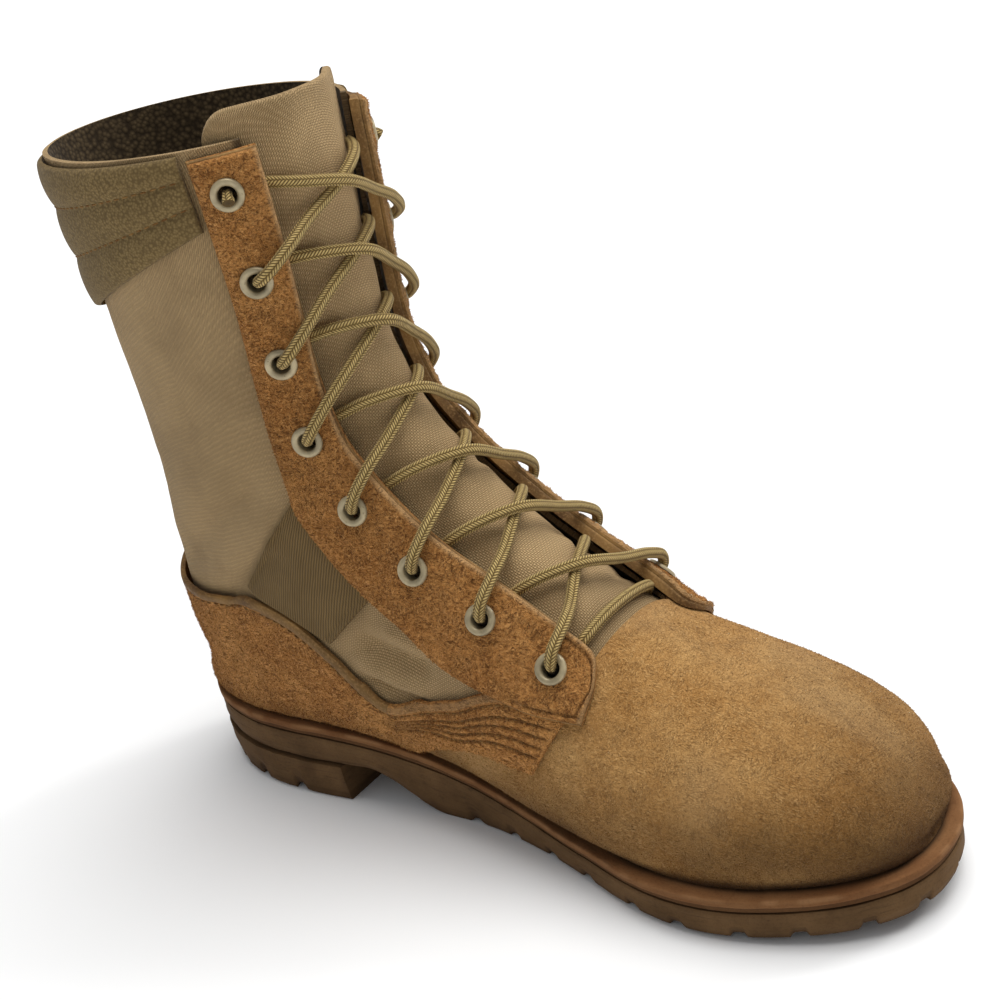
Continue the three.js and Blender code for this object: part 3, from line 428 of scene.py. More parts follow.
class Form:
    """The surface of the last and shaft, P(v, u), which every piece of the upper follows."""

    names = ("x", "z", "foot", "rise", "back", "outer", "inner", "ridge", "widest")

    def __init__(self) -> None:
        """Works out the sections, the feather line and the creases' paths."""
        rows = [self.foot_row(r) for r in FOOT] + [self.shaft_row(r) for r in SHAFT]
        self.sections = {name: [row[i] for row in rows] for i, name in enumerate(self.names)}
        loop = outline(SHELF, FEATHER_STEPS)
        half = len(loop) // 2
        self.feather = {
            "outer": self.measured(loop[: half + 1][::-1]),
            "inner": self.measured(np.concatenate([loop[half:], loop[:1]])),
        }
        self.noise = Noise(11)
        self.paths = [(crease, self.crease_path(crease)) for crease in CREASES]

    @staticmethod
    def foot_row(row: Sequence[float]) -> tuple[float, ...]:
        """A row of FOOT in millimetres."""
        forward, up, foot, outer, inner, ridge, widest = row
        sizes = (outer * BALL_WIDTH, inner * BALL_WIDTH, ridge * BALL_WIDTH)
        ridge_z = FORE_EDGE + up * INSTEP_RISE
        return (forward * SOLE_LENGTH, ridge_z, foot, 0.0, 0.021 * SOLE_LENGTH, *sizes, widest)

    @staticmethod
    def shaft_row(row: Sequence[float]) -> tuple[float, ...]:
        """A row of SHAFT in millimetres."""
        forward, up, foot, rise, back, outer, inner, ridge, widest = row
        sizes = (outer * COLLAR_WIDTH, inner * COLLAR_WIDTH, ridge * COLLAR_WIDTH)
        ridge_z = FORE_EDGE + INSTEP_RISE + up * SHAFT_HEIGHT
        place = (forward * SOLE_LENGTH, ridge_z, foot, rise * BACK_HEIGHT, back * SOLE_LENGTH)
        return (*place, *sizes, widest)

    @staticmethod
    def measured(points: Array) -> tuple[Array, Array]:
        """Points of a line with the share of its length at each."""
        steps = np.linalg.norm(np.diff(points, axis=0), axis=1)
        length = np.concatenate([[0], np.cumsum(steps)])
        return points, length / length[-1]

    def surface(self, v: Array, u: Array) -> Array:
        """Points of the form.

        Args:
            v: Section, from 0 at the toe tip to LAST at the collar.
            u: Place round the section, -1 to 1.

        Returns:
            Points in millimetres, in the sole's own frame.
        """
        v, u = np.broadcast_arrays(np.asarray(v, float), np.asarray(u, float))
        row = np.minimum(v, LAST)
        s = {name: along(column, row) for name, column in self.sections.items()}
        inner = u < 0
        sign = np.where(inner, -1.0, 1.0)
        rise = np.where(row > BACK_START, np.maximum(s["rise"], 0), 0)
        seam = np.minimum(rise / SEAM_BLEND, 1)
        share = np.clip(s["foot"], 0, 1)
        meet = []
        for axis in (0, 1):
            ends = []
            for points, shares in (self.feather["inner"], self.feather["outer"]):
                ends.append(np.interp(share, shares, points[:, axis]))
            meet.append(np.where(inner, *ends))
        end_x = mix(meet[0], s["back"], seam)
        end_z = sole_top(end_x) + GAP + rise
        tip = np.minimum(row * 20, 1)
        foot_half = np.maximum(sign * (meet[1] - s["ridge"]) * (1 - seam), 0) * tip
        reach = np.where(inner, s["inner"] + s["ridge"], s["outer"] - s["ridge"])
        half = np.maximum(reach, foot_half + 0.25 * tip) * tip
        q = np.abs(u)
        upper_angle = np.minimum(q / SIDE_BREAK, 1) * np.pi / 2
        lower_angle = np.clip((q - SIDE_BREAK) / (1 - SIDE_BREAK), 0, 1) * np.pi / 2
        above = q <= SIDE_BREAK
        widest = s["widest"]
        below = widest + (1 - widest) * np.sin(lower_angle)
        down = np.where(above, widest * (1 - np.cos(upper_angle)), below)
        tucked = foot_half + (half - foot_half) * np.cos(lower_angle)
        out = np.where(above, half * np.sin(upper_angle), tucked)
        z = mix(s["z"], end_z, down) + np.maximum(v - LAST, 0) * ABOVE_COLLAR
        return np.stack([mix(s["x"], end_x, down), s["ridge"] + sign * out, z], axis=-1)

    def outward(self, v: Array, u: Array) -> Array:
        """Outward directions; low on the foot they stay level, so that an offset keeps clear."""
        v, u = np.broadcast_arrays(np.asarray(v, float), np.asarray(u, float))
        seam = np.clip(v - BACK_START, 0, 1)
        limit = mix(FOOT_NORMAL, 1.0, seam)
        place = np.clip(v, 0.05, LAST)
        angle = np.clip(u, -limit, limit)
        step = 0.01
        onward = self.surface(place, np.minimum(angle + step, 1))
        across = onward - self.surface(place, np.maximum(angle - step, -1))
        forward = self.surface(np.minimum(place + step, LAST), angle) - self.surface(place - step, angle)
        normal = np.cross(across, forward)
        normal /= np.linalg.norm(normal, axis=-1)[..., None]
        low = smooth((np.abs(u) - LEVEL_FROM) / (1 - LEVEL_FROM)) * (1 - seam)
        tip = 1 - smooth(v / TIP_ROWS)
        normal[..., 2] *= 1 - np.maximum(low, tip)
        return normal / np.linalg.norm(normal, axis=-1)[..., None]

    def crease_path(self, crease: Crease) -> Array:
        """Points of a crease's line on the form."""
        t = np.linspace(0, 1, 25)[:, None]
        start, via, end = (np.array(p) for p in (crease.start, crease.via, crease.end))
        place = start * (1 - t) ** 2 + (2 * via - 0.5 * (start + end)) * 2 * t * (1 - t) + end * t**2
        return self.surface(place[:, 0], np.clip(place[:, 1], -1, 1))

    def relief(self, base: Array) -> Array:
        """Height of creases, folds and the skin's slight unevenness over points of the form."""
        flat = base.reshape(-1, 3)
        height = 0.28 * self.noise.at(flat, 34) + 0.12 * self.noise.at(flat + 500, 13)
        for crease, path in self.paths:
            low = path.min(0) - 3 * crease.width
            high = path.max(0) + 3 * crease.width
            near = np.flatnonzero(np.all((flat > low) & (flat < high), axis=1))
            if near.size == 0:
                continue
            gaps = np.linalg.norm(flat[near, None] - path[None], axis=2)
            closest = gaps.argmin(1)
            share = closest / (len(path) - 1)
            fade = smooth(share / 0.25) * smooth((1 - share) / 0.25)
            height[near] += crease.depth * fade * np.exp(-((gaps.min(1) / crease.width) ** 2))
        return height.reshape(base.shape[:-1])

    def at(self, v: Array, u: Array, height: Array) -> Array:
        """Points at a height over the form, creases included."""
        base = self.surface(v, u)
        return base + self.outward(v, u) * (height + self.relief(base))[..., None]

    @staticmethod
    def free_edge(side: Side, v: Array) -> Array:
        """u of the eyestay's edge beside the tongue."""
        table = np.array(EYESTAY_EDGES[side.key])
        return along(table[:, 1], row_at(table[:, 0], v))

    @staticmethod
    def rear_edge(side: Side, v: Array) -> Array:
        """u of the eyestay's rear edge."""
        table = np.array(EYESTAY_EDGES[side.key])
        return along(table[:, 3], row_at(table[:, 2], v))

    def wall_edge(self, side: Side, v: Array) -> Array:
        """u of the wall's edge under the eyestay."""
        return self.free_edge(side, v) + THROAT_SETBACK

    def lift(self, w: Array) -> Array:
        """How far the facing bends away from the throat."""
        return LIP_LIFT * (1 - w) ** 2

    def eyelet_places(self, side: Side) -> Array:
        """v and u of the eyelets of one side, from the toe up."""
        v = np.arange(EYELET_START[side.key], LAST + 0.2, 0.01)
        free = self.free_edge(side, v) * side.sign
        girth = np.linalg.norm(self.surface(v, free + 0.05) - self.surface(v, free - 0.05), axis=1) / 0.1
        u = side.sign * (np.abs(free) + EYELET_SETBACK / girth)
        inside = self.surface(v, 0.0)[:, 2] < BOOT_HEIGHT - EYELET_TOP_MARGIN
        v, u = v[inside], u[inside]
        steps = np.linalg.norm(np.diff(self.surface(v, u), axis=0), axis=1)
        travelled = np.concatenate([[0], np.cumsum(steps)])
        index = np.searchsorted(travelled, np.arange(0, travelled[-1], EYELET_PITCH))
        return np.column_stack([v[index], u[index]])

    def eyestay_height(self, side: Side, v: Array, u: Array) -> Array:
        """Height of the eyestay's outer face."""
        free = self.free_edge(side, v)
        return SEAT + self.lift((np.abs(u) - free) / (self.rear_edge(side, v) - free)) + EYESTAY

    def eyelet_frames(self, side: Side) -> list[tuple[Array, Array, Array]]:
        """Centre, axis and direction ahead of each eyelet."""
        frames = []
        for v, u in self.eyelet_places(side):
            step = 0.05

            def face(a: float, b: float) -> Array:
                return self.at(a, b, self.eyestay_height(side, a, b))

            forward = face(v + step, u) - face(v - step, u)
            across = face(v, u + step) - face(v, u - step)
            axis = np.cross(across, forward)
            frames.append((face(v, u), axis / np.linalg.norm(axis), forward / np.linalg.norm(forward)))
        return frames


@dataclass(frozen=True)
class Place:
    """Where the sole's own frame lies in the row's frame, in millimetres."""

    shift: tuple[float, float, float]

    def metres(self, points: Array) -> Array:
        """Points in the row's frame, in metres."""
        return (points + np.array(self.shift)) * MM

    @classmethod
    def of_frame(cls) -> "Place":
        """Reads the shift from the midsole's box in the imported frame."""
        low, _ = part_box("midsole")
        loop = outline(0, 2)
        return cls((low.x / MM - loop[:, 0].min(), low.y / MM - loop[:, 1].min(), 0.0))


def make_mesh(
    name: str,
    points: Array,
    faces: Array,
    materials: Sequence[Material],
    finish: Array | None = None,
    uv: Array | None = None,
    attributes: dict[str, Array] | None = None,
    sharp: float = 50.0,
) -> Object:
    """Makes a mesh object at the origin.

    Args:
        name: Name of the object.
        points: Points in metres.
        faces: Corner indices, four a face; a repeated corner makes a triangle.
        materials: Materials of the mesh.
        finish: Material index of each face.
        uv: UV of each face corner, four a face, in millimetres.
        attributes: Named float values of the points.
        sharp: Angle in degrees past which an edge is sharp.

    Returns:
        The linked object.
    """
    ring = np.roll(faces, -1, axis=1)
    keep = faces != ring
    sizes = keep.sum(1)
    good = sizes >= 3
    faces, keep, sizes = faces[good], keep[good], sizes[good]
    mesh = bpy.data.meshes.new(name)
    mesh.vertices.add(len(points))
    mesh.vertices.foreach_set("co", points.astype(np.float32).ravel())
    corners = faces[keep]
    mesh.loops.add(len(corners))
    mesh.loops.foreach_set("vertex_index", corners.astype(np.int32))
    mesh.polygons.add(len(faces))
    mesh.polygons.foreach_set("loop_start", np.concatenate([[0], np.cumsum(sizes)[:-1]]).astype(np.int32))
    for material in materials:
        mesh.materials.append(material)
    if finish is not None:
        mesh.polygons.foreach_set("material_index", finish[good].astype(np.int32))
    if uv is not None:
        layer = mesh.uv_layers.new(name="UVMap")
        layer.data.foreach_set("uv", uv[good][keep].astype(np.float32).ravel())
    for key, values in (attributes or {}).items():
        mesh.attributes.new(key, "FLOAT", "POINT").data.foreach_set("value", values.astype(np.float32))
    mesh.update(calc_edges=True)
    mesh.validate()
    mesh.shade_smooth()
    mesh.set_sharp_from_angle(angle=np.radians(sharp))
    made = bpy.data.objects.new(name, mesh)
    bpy.context.scene.collection.objects.link(made)
    return made


def grid_faces(rows: int, columns: int) -> Array:
    """Corner indices of a grid of rows by columns points."""
    a = (np.arange(rows - 1)[:, None] * columns + np.arange(columns - 1)[None]).ravel()
    return np.column_stack([a, a + 1, a + columns + 1, a + columns])


def spread(length: float, pitch: float, border: Iterable[float] = (0.12, 0.35, 0.75, 1.3)) -> Array:
    """Shares along a length with close steps at both ends.

    Args:
        length: Length in millimetres.
        pitch: Step in the middle.
        border: Distances of the close steps from an end.

    Returns:
        Shares from 0 to 1.
    """
    near = np.array([0.0, *border])
    count = max(int((length - 2 * near[-1]) / pitch), 1)
    middle = np.linspace(near[-1], length - near[-1], count + 1)[1:-1]
    return np.concatenate([near, middle, (length - near)[::-1]]) / length


class Sheet:
    """A soft panel: a grid of places on the form, thickened, with a UV map in millimetres."""

    def __init__(self, form: Form, v: Array, u: Array) -> None:
        """Measures the grid.

        Args:
            form: The surface.
            v: Section of each grid point.
            u: Place round the section of each grid point.
        """
        self.form = form
        self.v, self.u = np.broadcast_arrays(v, u)
        self.base = form.surface(self.v, self.u)
        self.normal = form.outward(self.v, self.u)
        self.relief = form.relief(self.base)
        self.down = self.travel(axis=0)
        self.across = self.travel(axis=1)
        ends = (self.down[-1:] - self.down, self.across[:, -1:] - self.across)
        self.edge = np.minimum(np.minimum(self.down, ends[0]), np.minimum(self.across, ends[1]))

    def travel(self, axis: int) -> Array:
        """Millimetres from the grid's first line along an axis."""
        steps = np.linalg.norm(np.diff(self.base, axis=axis), axis=-1)
        start = np.zeros_like(np.take(steps, [0], axis=axis))
        return np.concatenate([start, np.cumsum(steps, axis=axis)], axis=axis)

    def rounding(self, radius: float, distance: Array | None = None) -> Array:
        """How far the face drops near the edge for a rounded rim."""
        d = np.clip(self.edge if distance is None else distance, 0, radius)
        return radius - np.sqrt(np.maximum(radius**2 - (radius - d) ** 2, 0))

    def solid(
        self,
        name: str,
        low: Array,
        high: Array,
        place: Place,
        materials: Sequence[Material],
        outer_finish: Array | int = 0,
        inner_finish: int = 0,
        rim_finish: int | None = None,
        keep: Array | None = None,
        attributes: dict[str, Array] | None = None,
        level: Array | None = None,
    ) -> Object:
        """Builds the closed panel.

        Args:
            name: Name of the object.
            low: Height of the inner face over the form.
            high: Height of the outer face over the form.
            place: Shift to the row's frame.
            materials: Materials of the mesh.
            outer_finish: Material index of the outer faces, one or a value for each grid face.
            inner_finish: Material index of the inner faces.
            rim_finish: Material index of the rim; that of the faces beside it where it is left out.
            keep: Which grid faces are kept.
            attributes: Named values of the grid points.
            level: Which relief is added; the form's own where it is left out.

        Returns:
            The linked object.
        """
        rows, columns = self.v.shape
        faces = grid_faces(rows, columns)
        outer_finish = np.broadcast_to(outer_finish, (len(faces),))
        if keep is not None:
            faces, outer_finish = faces[keep], outer_finish[keep]
        relief = self.relief if level is None else level
        flat = self.base.reshape(-1, 3)
        _, welded = np.unique(np.round(flat * 1000).astype(np.int64), axis=0, return_inverse=True)
        welded = welded.ravel()
        count = welded.max() + 1
        shares = np.bincount(welded, minlength=count)[:, None]
        sides = []
        for height in (high, low):
            moved = self.base + self.normal * (np.broadcast_to(height, self.v.shape) + relief)[..., None]
            total = np.zeros((count, 3))
            np.add.at(total, welded, moved.reshape(-1, 3))
            sides.append(total / shares)
        uv_points = np.column_stack([self.across.ravel(), self.down.ravel()])
        top = welded[faces]
        collapsed = (top == np.roll(top, -1, axis=1)).sum(1) > 1
        faces, top, outer_finish = faces[~collapsed], top[~collapsed], outer_finish[~collapsed]
        ring = np.roll(top, -1, axis=1)
        step = np.roll(faces, -1, axis=1)
        real = top != ring
        start, end = top[real], ring[real]
        codes = start.astype(np.int64) * count + end
        open_edge = ~np.isin(codes, end.astype(np.int64) * count + start)
        rim_a, rim_b = start[open_edge], end[open_edge]
        uv_a, uv_b = faces[real][open_edge], step[real][open_edge]
        rim = np.column_stack([rim_b, rim_a, rim_a + count, rim_b + count])
        below = top[:, ::-1] + count
        all_faces = np.concatenate([top, below, rim])
        rim_uv = uv_points[np.column_stack([uv_b, uv_a, uv_a, uv_b])]
        all_uv = np.concatenate([uv_points[faces], uv_points[faces[:, ::-1]], rim_uv])
        beside = outer_finish[np.nonzero(real)[0][open_edge]]
        beside = beside if rim_finish is None else np.full(len(rim), rim_finish)
        finish = np.concatenate([outer_finish, np.full(len(below), inner_finish), beside])
        points = np.concatenate(sides)
        if signed_volume(points, all_faces) < 0:
            all_faces, all_uv = all_faces[:, ::-1], all_uv[:, ::-1]
        values = {}
        for key, value in (attributes or {}).items():
            half = np.zeros(count)
            half[welded] = np.broadcast_to(value, self.v.shape).ravel()
            values[key] = np.concatenate([half, half])
        return make_mesh(name, place.metres(points), all_faces, materials, finish, all_uv, values)


def columns_at(at: Array, travelled: Array, values: Array) -> Array:
    """Values along a line, read at distances travelled."""
    return np.column_stack([np.interp(at, travelled, column) for column in values.T])


def signed_volume(points: Array, faces: Array) -> float:
    """Six times the volume that faces enclose, negative where they point inwards."""
    a, b, c, d = (points[faces[:, i]] for i in range(4))
    return float(np.sum(a * np.cross(b, c)) + np.sum(a * np.cross(c, d)))


def linear(code: str, alpha: float = 1.0) -> tuple[float, float, float, float]:
    """Linear colour of an sRGB hex value."""
    channels = [int(code[i : i + 2], 16) / 255 for i in (1, 3, 5)]
    values = [c / 12.92 if c <= 0.04045 else ((c + 0.055) / 1.055) ** 2.4 for c in channels]
    return (*values, alpha)


def node(
    tree: bpy.types.NodeTree, kind: str, inputs: dict | None = None, **settings: object
) -> bpy.types.Node:
    """Adds a node with its settings, and sets or links its inputs.

    Args:
        tree: Tree that gets the node.
        kind: Class of the node.
        inputs: Value or source socket for each input, by name or index.
        settings: Properties of the node.

    Returns:
        The node.
    """
    made = tree.nodes.new(kind)
    for key, value in settings.items():
        setattr(made, key, value)
    for key, value in (inputs or {}).items():
        socket = made.inputs[key]
        if isinstance(value, Socket):
            tree.links.new(value, socket)
        else:
            socket.default_value = value
    return made


class Shading:
    """A material being built: its tree, its coordinates and its surface."""

    def __init__(self, name: str, roughness: float, **surface: float) -> None:
        """Starts the material.

        Args:
            name: Name of the material.
            roughness: Roughness of the surface.
            surface: Other inputs of the surface, by name with underscores.
        """
        self.material = bpy.data.materials.new(name)
        self.material.use_nodes = True
        self.tree = self.material.node_tree
        self.surface = self.tree.nodes["Principled BSDF"]
        self.surface.inputs["Roughness"].default_value = roughness
        for key, value in surface.items():
            self.surface.inputs[key.replace("_", " ").title().replace("Ior", "IOR")].default_value = value
        coordinates = node(self.tree, "ShaderNodeTexCoord")
        self.object = coordinates.outputs["Object"]
        self.uv = coordinates.outputs["UV"]

    def stretched(self, source: Socket, scale: tuple[float, float, float]) -> Socket:
        """Coordinates scaled along their axes."""
        return node(self.tree, "ShaderNodeMapping", {"Vector": source, "Scale": scale}).outputs[0]

    def noise(
        self,
        source: Socket,
        size: float,
        detail: float = 3,
        rough: float = 0.55,
        unit: float = MM,
        twist: float = 0.0,
    ) -> Socket:
        """Noise whose patches are about a size in millimetres.

        Args:
            source: Coordinates.
            size: Size of a patch in millimetres.
            detail: Octaves.
            rough: How much the finer octaves weigh.
            unit: Length of a millimetre in the coordinates.
            twist: How much the patches curl.

        Returns:
            The noise's value.
        """
        scale = 1 / (size * unit)
        inputs = {"Vector": source, "Scale": scale, "Detail": detail, "Roughness": rough, "Distortion": twist}
        return node(self.tree, "ShaderNodeTexNoise", inputs).outputs["Fac"]

    def attribute(self, name: str) -> Socket:
        """A named value of the mesh."""
        return node(self.tree, "ShaderNodeAttribute", attribute_name=name).outputs["Fac"]

    def math(self, operation: str, *values: object) -> Socket:
        """Result of a math operation on numbers or sockets."""
        inputs = dict(enumerate(values))
        return node(self.tree, "ShaderNodeMath", inputs, operation=operation).outputs[0]

    def remap(
        self, value: object, low: float, high: float, to_low: float = 0, to_high: float = 1
    ) -> Socket:
        """A value carried from one range to another, clamped."""
        inputs = {"Value": value, "From Min": low, "From Max": high, "To Min": to_low, "To Max": to_high}
        return node(self.tree, "ShaderNodeMapRange", inputs).outputs[0]

    def blend(self, factor: object, a: object, b: object) -> Socket:
        """Blend of two colours, each a hex value or a socket."""
        made = node(self.tree, "ShaderNodeMix", data_type="RGBA")
        for socket, value in zip((made.inputs[0], made.inputs[6], made.inputs[7]), (factor, a, b)):
            if isinstance(value, Socket):
                self.tree.links.new(value, socket)
            else:
                socket.default_value = linear(value) if isinstance(value, str) else value
        return made.outputs[2]

    def finish(self, color: Socket, heights: Sequence[tuple[Socket, float]]) -> Material:
        """Links the colour and stacks the bumps.

        Args:
            color: Base colour.
            heights: Height sockets with their depth in millimetres.

        Returns:
            The finished material.
        """
        self.tree.links.new(color, self.surface.inputs["Base Color"])
        normal = None
        for height, depth in heights:
            inputs = {"Height": height, "Distance": depth * MM, "Strength": 1.0}
            if normal is not None:
                inputs["Normal"] = normal
            normal = node(self.tree, "ShaderNodeBump", inputs).outputs[0]
        if normal is not None:
            self.tree.links.new(normal, self.surface.inputs["Normal"])
        return self.material


@dataclass(frozen=True)
class Suede:
    """Split cowhide, brushed on the flesh side: no gloss, a nap that shows as curly tufts.

    The colour paints a highlight on the tufts' tips and shade in the gaps between them.
    """

    name: str
    light: str
    mid: str
    dark: str
    # colour of the painted highlight on the tufts' tips
    tip: str
    tuft: float
    depth: float
    contrast: float

    def material(self) -> Material:
        """Builds the suede. The tuft is the size of one clump of nap in millimetres."""
        s = Shading(self.name, 0.97, sheen_weight=0.04, sheen_roughness=0.5, specular_ior_level=0.08)
        broad = s.noise(s.object, 24, 4, 0.6)
        patch = s.noise(s.object, 5.5, 3, 0.6)
        sweep = s.remap(s.noise(s.object, 8.0, 2), 0.42, 0.58)
        lengthwise = s.noise(s.stretched(s.object, (0.5, 1.25, 1.1)), self.tuft, 2, 0.6, twist=1.1)
        crosswise = s.noise(s.stretched(s.object, (1.25, 0.5, 1.1)), self.tuft, 2, 0.6, twist=1.1)
        curl = s.math("ADD", lengthwise, s.math("MULTIPLY", sweep, s.math("SUBTRACT", crosswise, lengthwise)))
        fine = s.noise(s.object, self.tuft * 0.5, 2, 0.65, twist=0.5)
        height = s.math("ADD", s.math("MULTIPLY", curl, 0.75), s.math("MULTIPLY", fine, 0.25))
        color = s.blend(s.remap(broad, 0.36, 0.66), self.mid, self.light)
        color = s.blend(s.remap(patch, 0.45, 0.72, 0, 0.26), color, self.dark)
        # painted shade in the gaps between the tufts, painted highlight on their tips
        color = s.blend(s.remap(height, 0.5, 0.38, 0, self.contrast), color, self.dark)
        color = s.blend(s.remap(height, 0.51, 0.63, 0, self.contrast), color, self.tip)
        # darkened where the mesh marks dirt and painted shade
        color = s.blend(s.attribute("dirt_and_shade"), color, linear("#43290f"))
        color = s.blend(s.attribute("pale"), color, linear("#bd9f74"))
        return s.finish(color, [(patch, self.depth * 1.3), (height, self.depth * 5.5)])


@dataclass(frozen=True)
class PlainLeather:
    """The smooth side of the hide, as on the folded top edge: a low gloss with fine pores."""

    name: str = "smooth_leather"
    light: str = "#94703f"
    dark: str = "#624627"

    def material(self) -> Material:
        """Builds the leather."""
        s = Shading(self.name, 0.74, specular_ior_level=0.25)
        broad = s.noise(s.object, 14, 4)
        pores = s.noise(s.object, 0.9, 3, 0.65)
        color = s.blend(s.remap(broad, 0.35, 0.65), self.dark, self.light)
        color = s.blend(s.remap(pores, 0.5, 0.66, 0, 0.5), color, "#b28c58")
        # darkened where the mesh marks dirt and painted shade
        color = s.blend(s.attribute("dirt_and_shade"), color, linear("#3a2a18"))
        return s.finish(color, [(broad, 0.5), (pores, 0.22)])


@dataclass(frozen=True)
class BasketWeave:
    """Heavy nylon cloth in a basket weave, two threads to a cell.

    A cell is about 1 mm wide. The raised floats of one direction show as pale dots in slanting rows.
    """

    name: str
    light: str
    dark: str
    cell: float = 0.8

    def material(self) -> Material:
        """Builds the cloth."""
        s = Shading(self.name, 0.85, sheen_weight=0.05, specular_ior_level=0.2)
        split = node(s.tree, "ShaderNodeSeparateXYZ", {0: s.uv})
        places = []
        for axis, patch in ((0, 7.0), (1, 9.0)):
            wander = s.math("MULTIPLY", s.noise(s.uv, patch, 2, 0.5, 1.0), 0.9)
            places.append(s.math("ADD", s.math("DIVIDE", split.outputs[axis], self.cell), wander))
        x, y = places
        parity = s.math("MODULO", s.math("ADD", s.math("FLOOR", x), s.math("FLOOR", y)), 2.0)
        over = s.math("ABSOLUTE", parity)
        waves = [s.math("ABSOLUTE", s.math("SINE", s.math("MULTIPLY", run, np.pi))) for run in (x, y)]
        float_up = s.math("MULTIPLY", s.math("POWER", waves[0], 0.7), s.math("POWER", waves[1], 0.35))
        float_down = s.math("MULTIPLY", s.math("POWER", waves[1], 0.7), s.math("POWER", waves[0], 0.35))
        first = s.math("MULTIPLY", float_up, over)
        second = s.math("MULTIPLY", s.math("MULTIPLY", float_down, 0.55), s.math("SUBTRACT", 1.0, over))
        height = s.math("ADD", first, second)
        yarn = s.noise(s.uv, 0.5, 2, 0.6, 1.0)
        stain = s.noise(s.object, 22, 4, 0.6)
        # raised floats painted lighter and the sunk threads darker, as shade in the weave
        color = s.blend(s.remap(height, 0.0, 0.7), self.dark, self.light)
        color = s.blend(s.remap(yarn, 0.45, 0.75, 0, 0.3), color, "#cbb285")
        color = s.blend(s.remap(stain, 0.45, 0.75, 0, 0.35), color, "#67502f")
        # darkened where the mesh marks dirt and painted shade
        color = s.blend(s.attribute("dirt_and_shade"), color, linear("#453623"))
        return s.finish(color, [(height, 0.3), (yarn, 0.08)])


@dataclass(frozen=True)
class Ribbed:
    """Woven webbing with close ribs, here run on the slant as the band is sewn."""

    name: str = "ribbed_webbing"
    # both colours are set a little darker than the webbing's own, as painted shade over the band
    light: str = "#7d653f"
    dark: str = "#46361f"
    rib: float = 1.3
    slant: float = 0.6

    def material(self) -> Material:
        """Builds the webbing."""
        s = Shading(self.name, 0.88, sheen_weight=0.04, specular_ior_level=0.15)
        split = node(s.tree, "ShaderNodeSeparateXYZ", {0: s.uv})
        wander = s.noise(s.uv, 9, 2, 0.5, 1.0)
        line = s.math("ADD", split.outputs[0], s.math("MULTIPLY", split.outputs[1], self.slant))
        line = s.math("ADD", line, s.math("MULTIPLY", wander, 1.2))
        rib = s.math("ABSOLUTE", s.math("SINE", s.math("MULTIPLY", line, np.pi / self.rib)))
        weft = s.math("ABSOLUTE", s.math("SINE", s.math("MULTIPLY", split.outputs[1], np.pi / 0.9)))
        height = s.math("ADD", s.math("POWER", rib, 0.6), s.math("MULTIPLY", weft, 0.3))
        stain = s.noise(s.object, 15, 4, 0.6)
        color = s.blend(s.remap(height, 0.2, 1.1), self.dark, self.light)
        color = s.blend(s.remap(stain, 0.4, 0.7, 0, 0.4), color, "#574426")
        return s.finish(color, [(height, 0.35)])


@dataclass(frozen=True)
class Braid:
    """Round polyester lace, braided: sets of strands that wind opposite ways and pass over each other."""

    name: str = "braided_lace"
    light: str = "#ccb173"
    mid: str = "#957a41"
    dark: str = "#574320"
    columns: int = 6
    pitch: float = 1.05

    def material(self) -> Material:
        """Builds the lace. U runs round it from 0 to 1, V along it in millimetres."""
        s = Shading(self.name, 0.72, sheen_weight=0.05, specular_ior_level=0.25)
        split = node(s.tree, "ShaderNodeSeparateXYZ", {0: s.uv})
        around = s.math("MULTIPLY", split.outputs[0], float(self.columns))
        column = s.math("FLOOR", around)
        within = s.math("SUBTRACT", around, column)
        way = s.math("SUBTRACT", s.math("MULTIPLY", s.math("MODULO", column, 2.0), 2.0), 1.0)
        slant = s.math("MULTIPLY", s.math("MULTIPLY", within, way), 1.5)
        phase = s.math("ADD", s.math("DIVIDE", split.outputs[1], self.pitch), slant)
        stitch = s.math("ABSOLUTE", s.math("SINE", s.math("MULTIPLY", phase, np.pi)))
        arch = s.math("ABSOLUTE", s.math("SINE", s.math("MULTIPLY", within, np.pi)))
        height = s.math("MULTIPLY", s.math("POWER", stitch, 0.8), s.math("POWER", arch, 0.4))
        fleck = s.noise(s.object, 1.3, 2, 0.6)
        color = s.blend(s.remap(height, 0.12, 0.6), self.dark, self.mid)
        color = s.blend(s.remap(height, 0.5, 0.95), color, self.light)
        color = s.blend(s.remap(fleck, 0.5, 0.7, 0, 0.35), color, "#5d4a22")
        # painted shade where the lace runs into an eyelet
        color = s.blend(s.attribute("dirt_and_shade"), color, linear("#1d150a"))
        fiber = s.noise(s.object, 0.4, 2, 0.7)
        return s.finish(color, [(height, 0.45), (fiber, 0.08)])


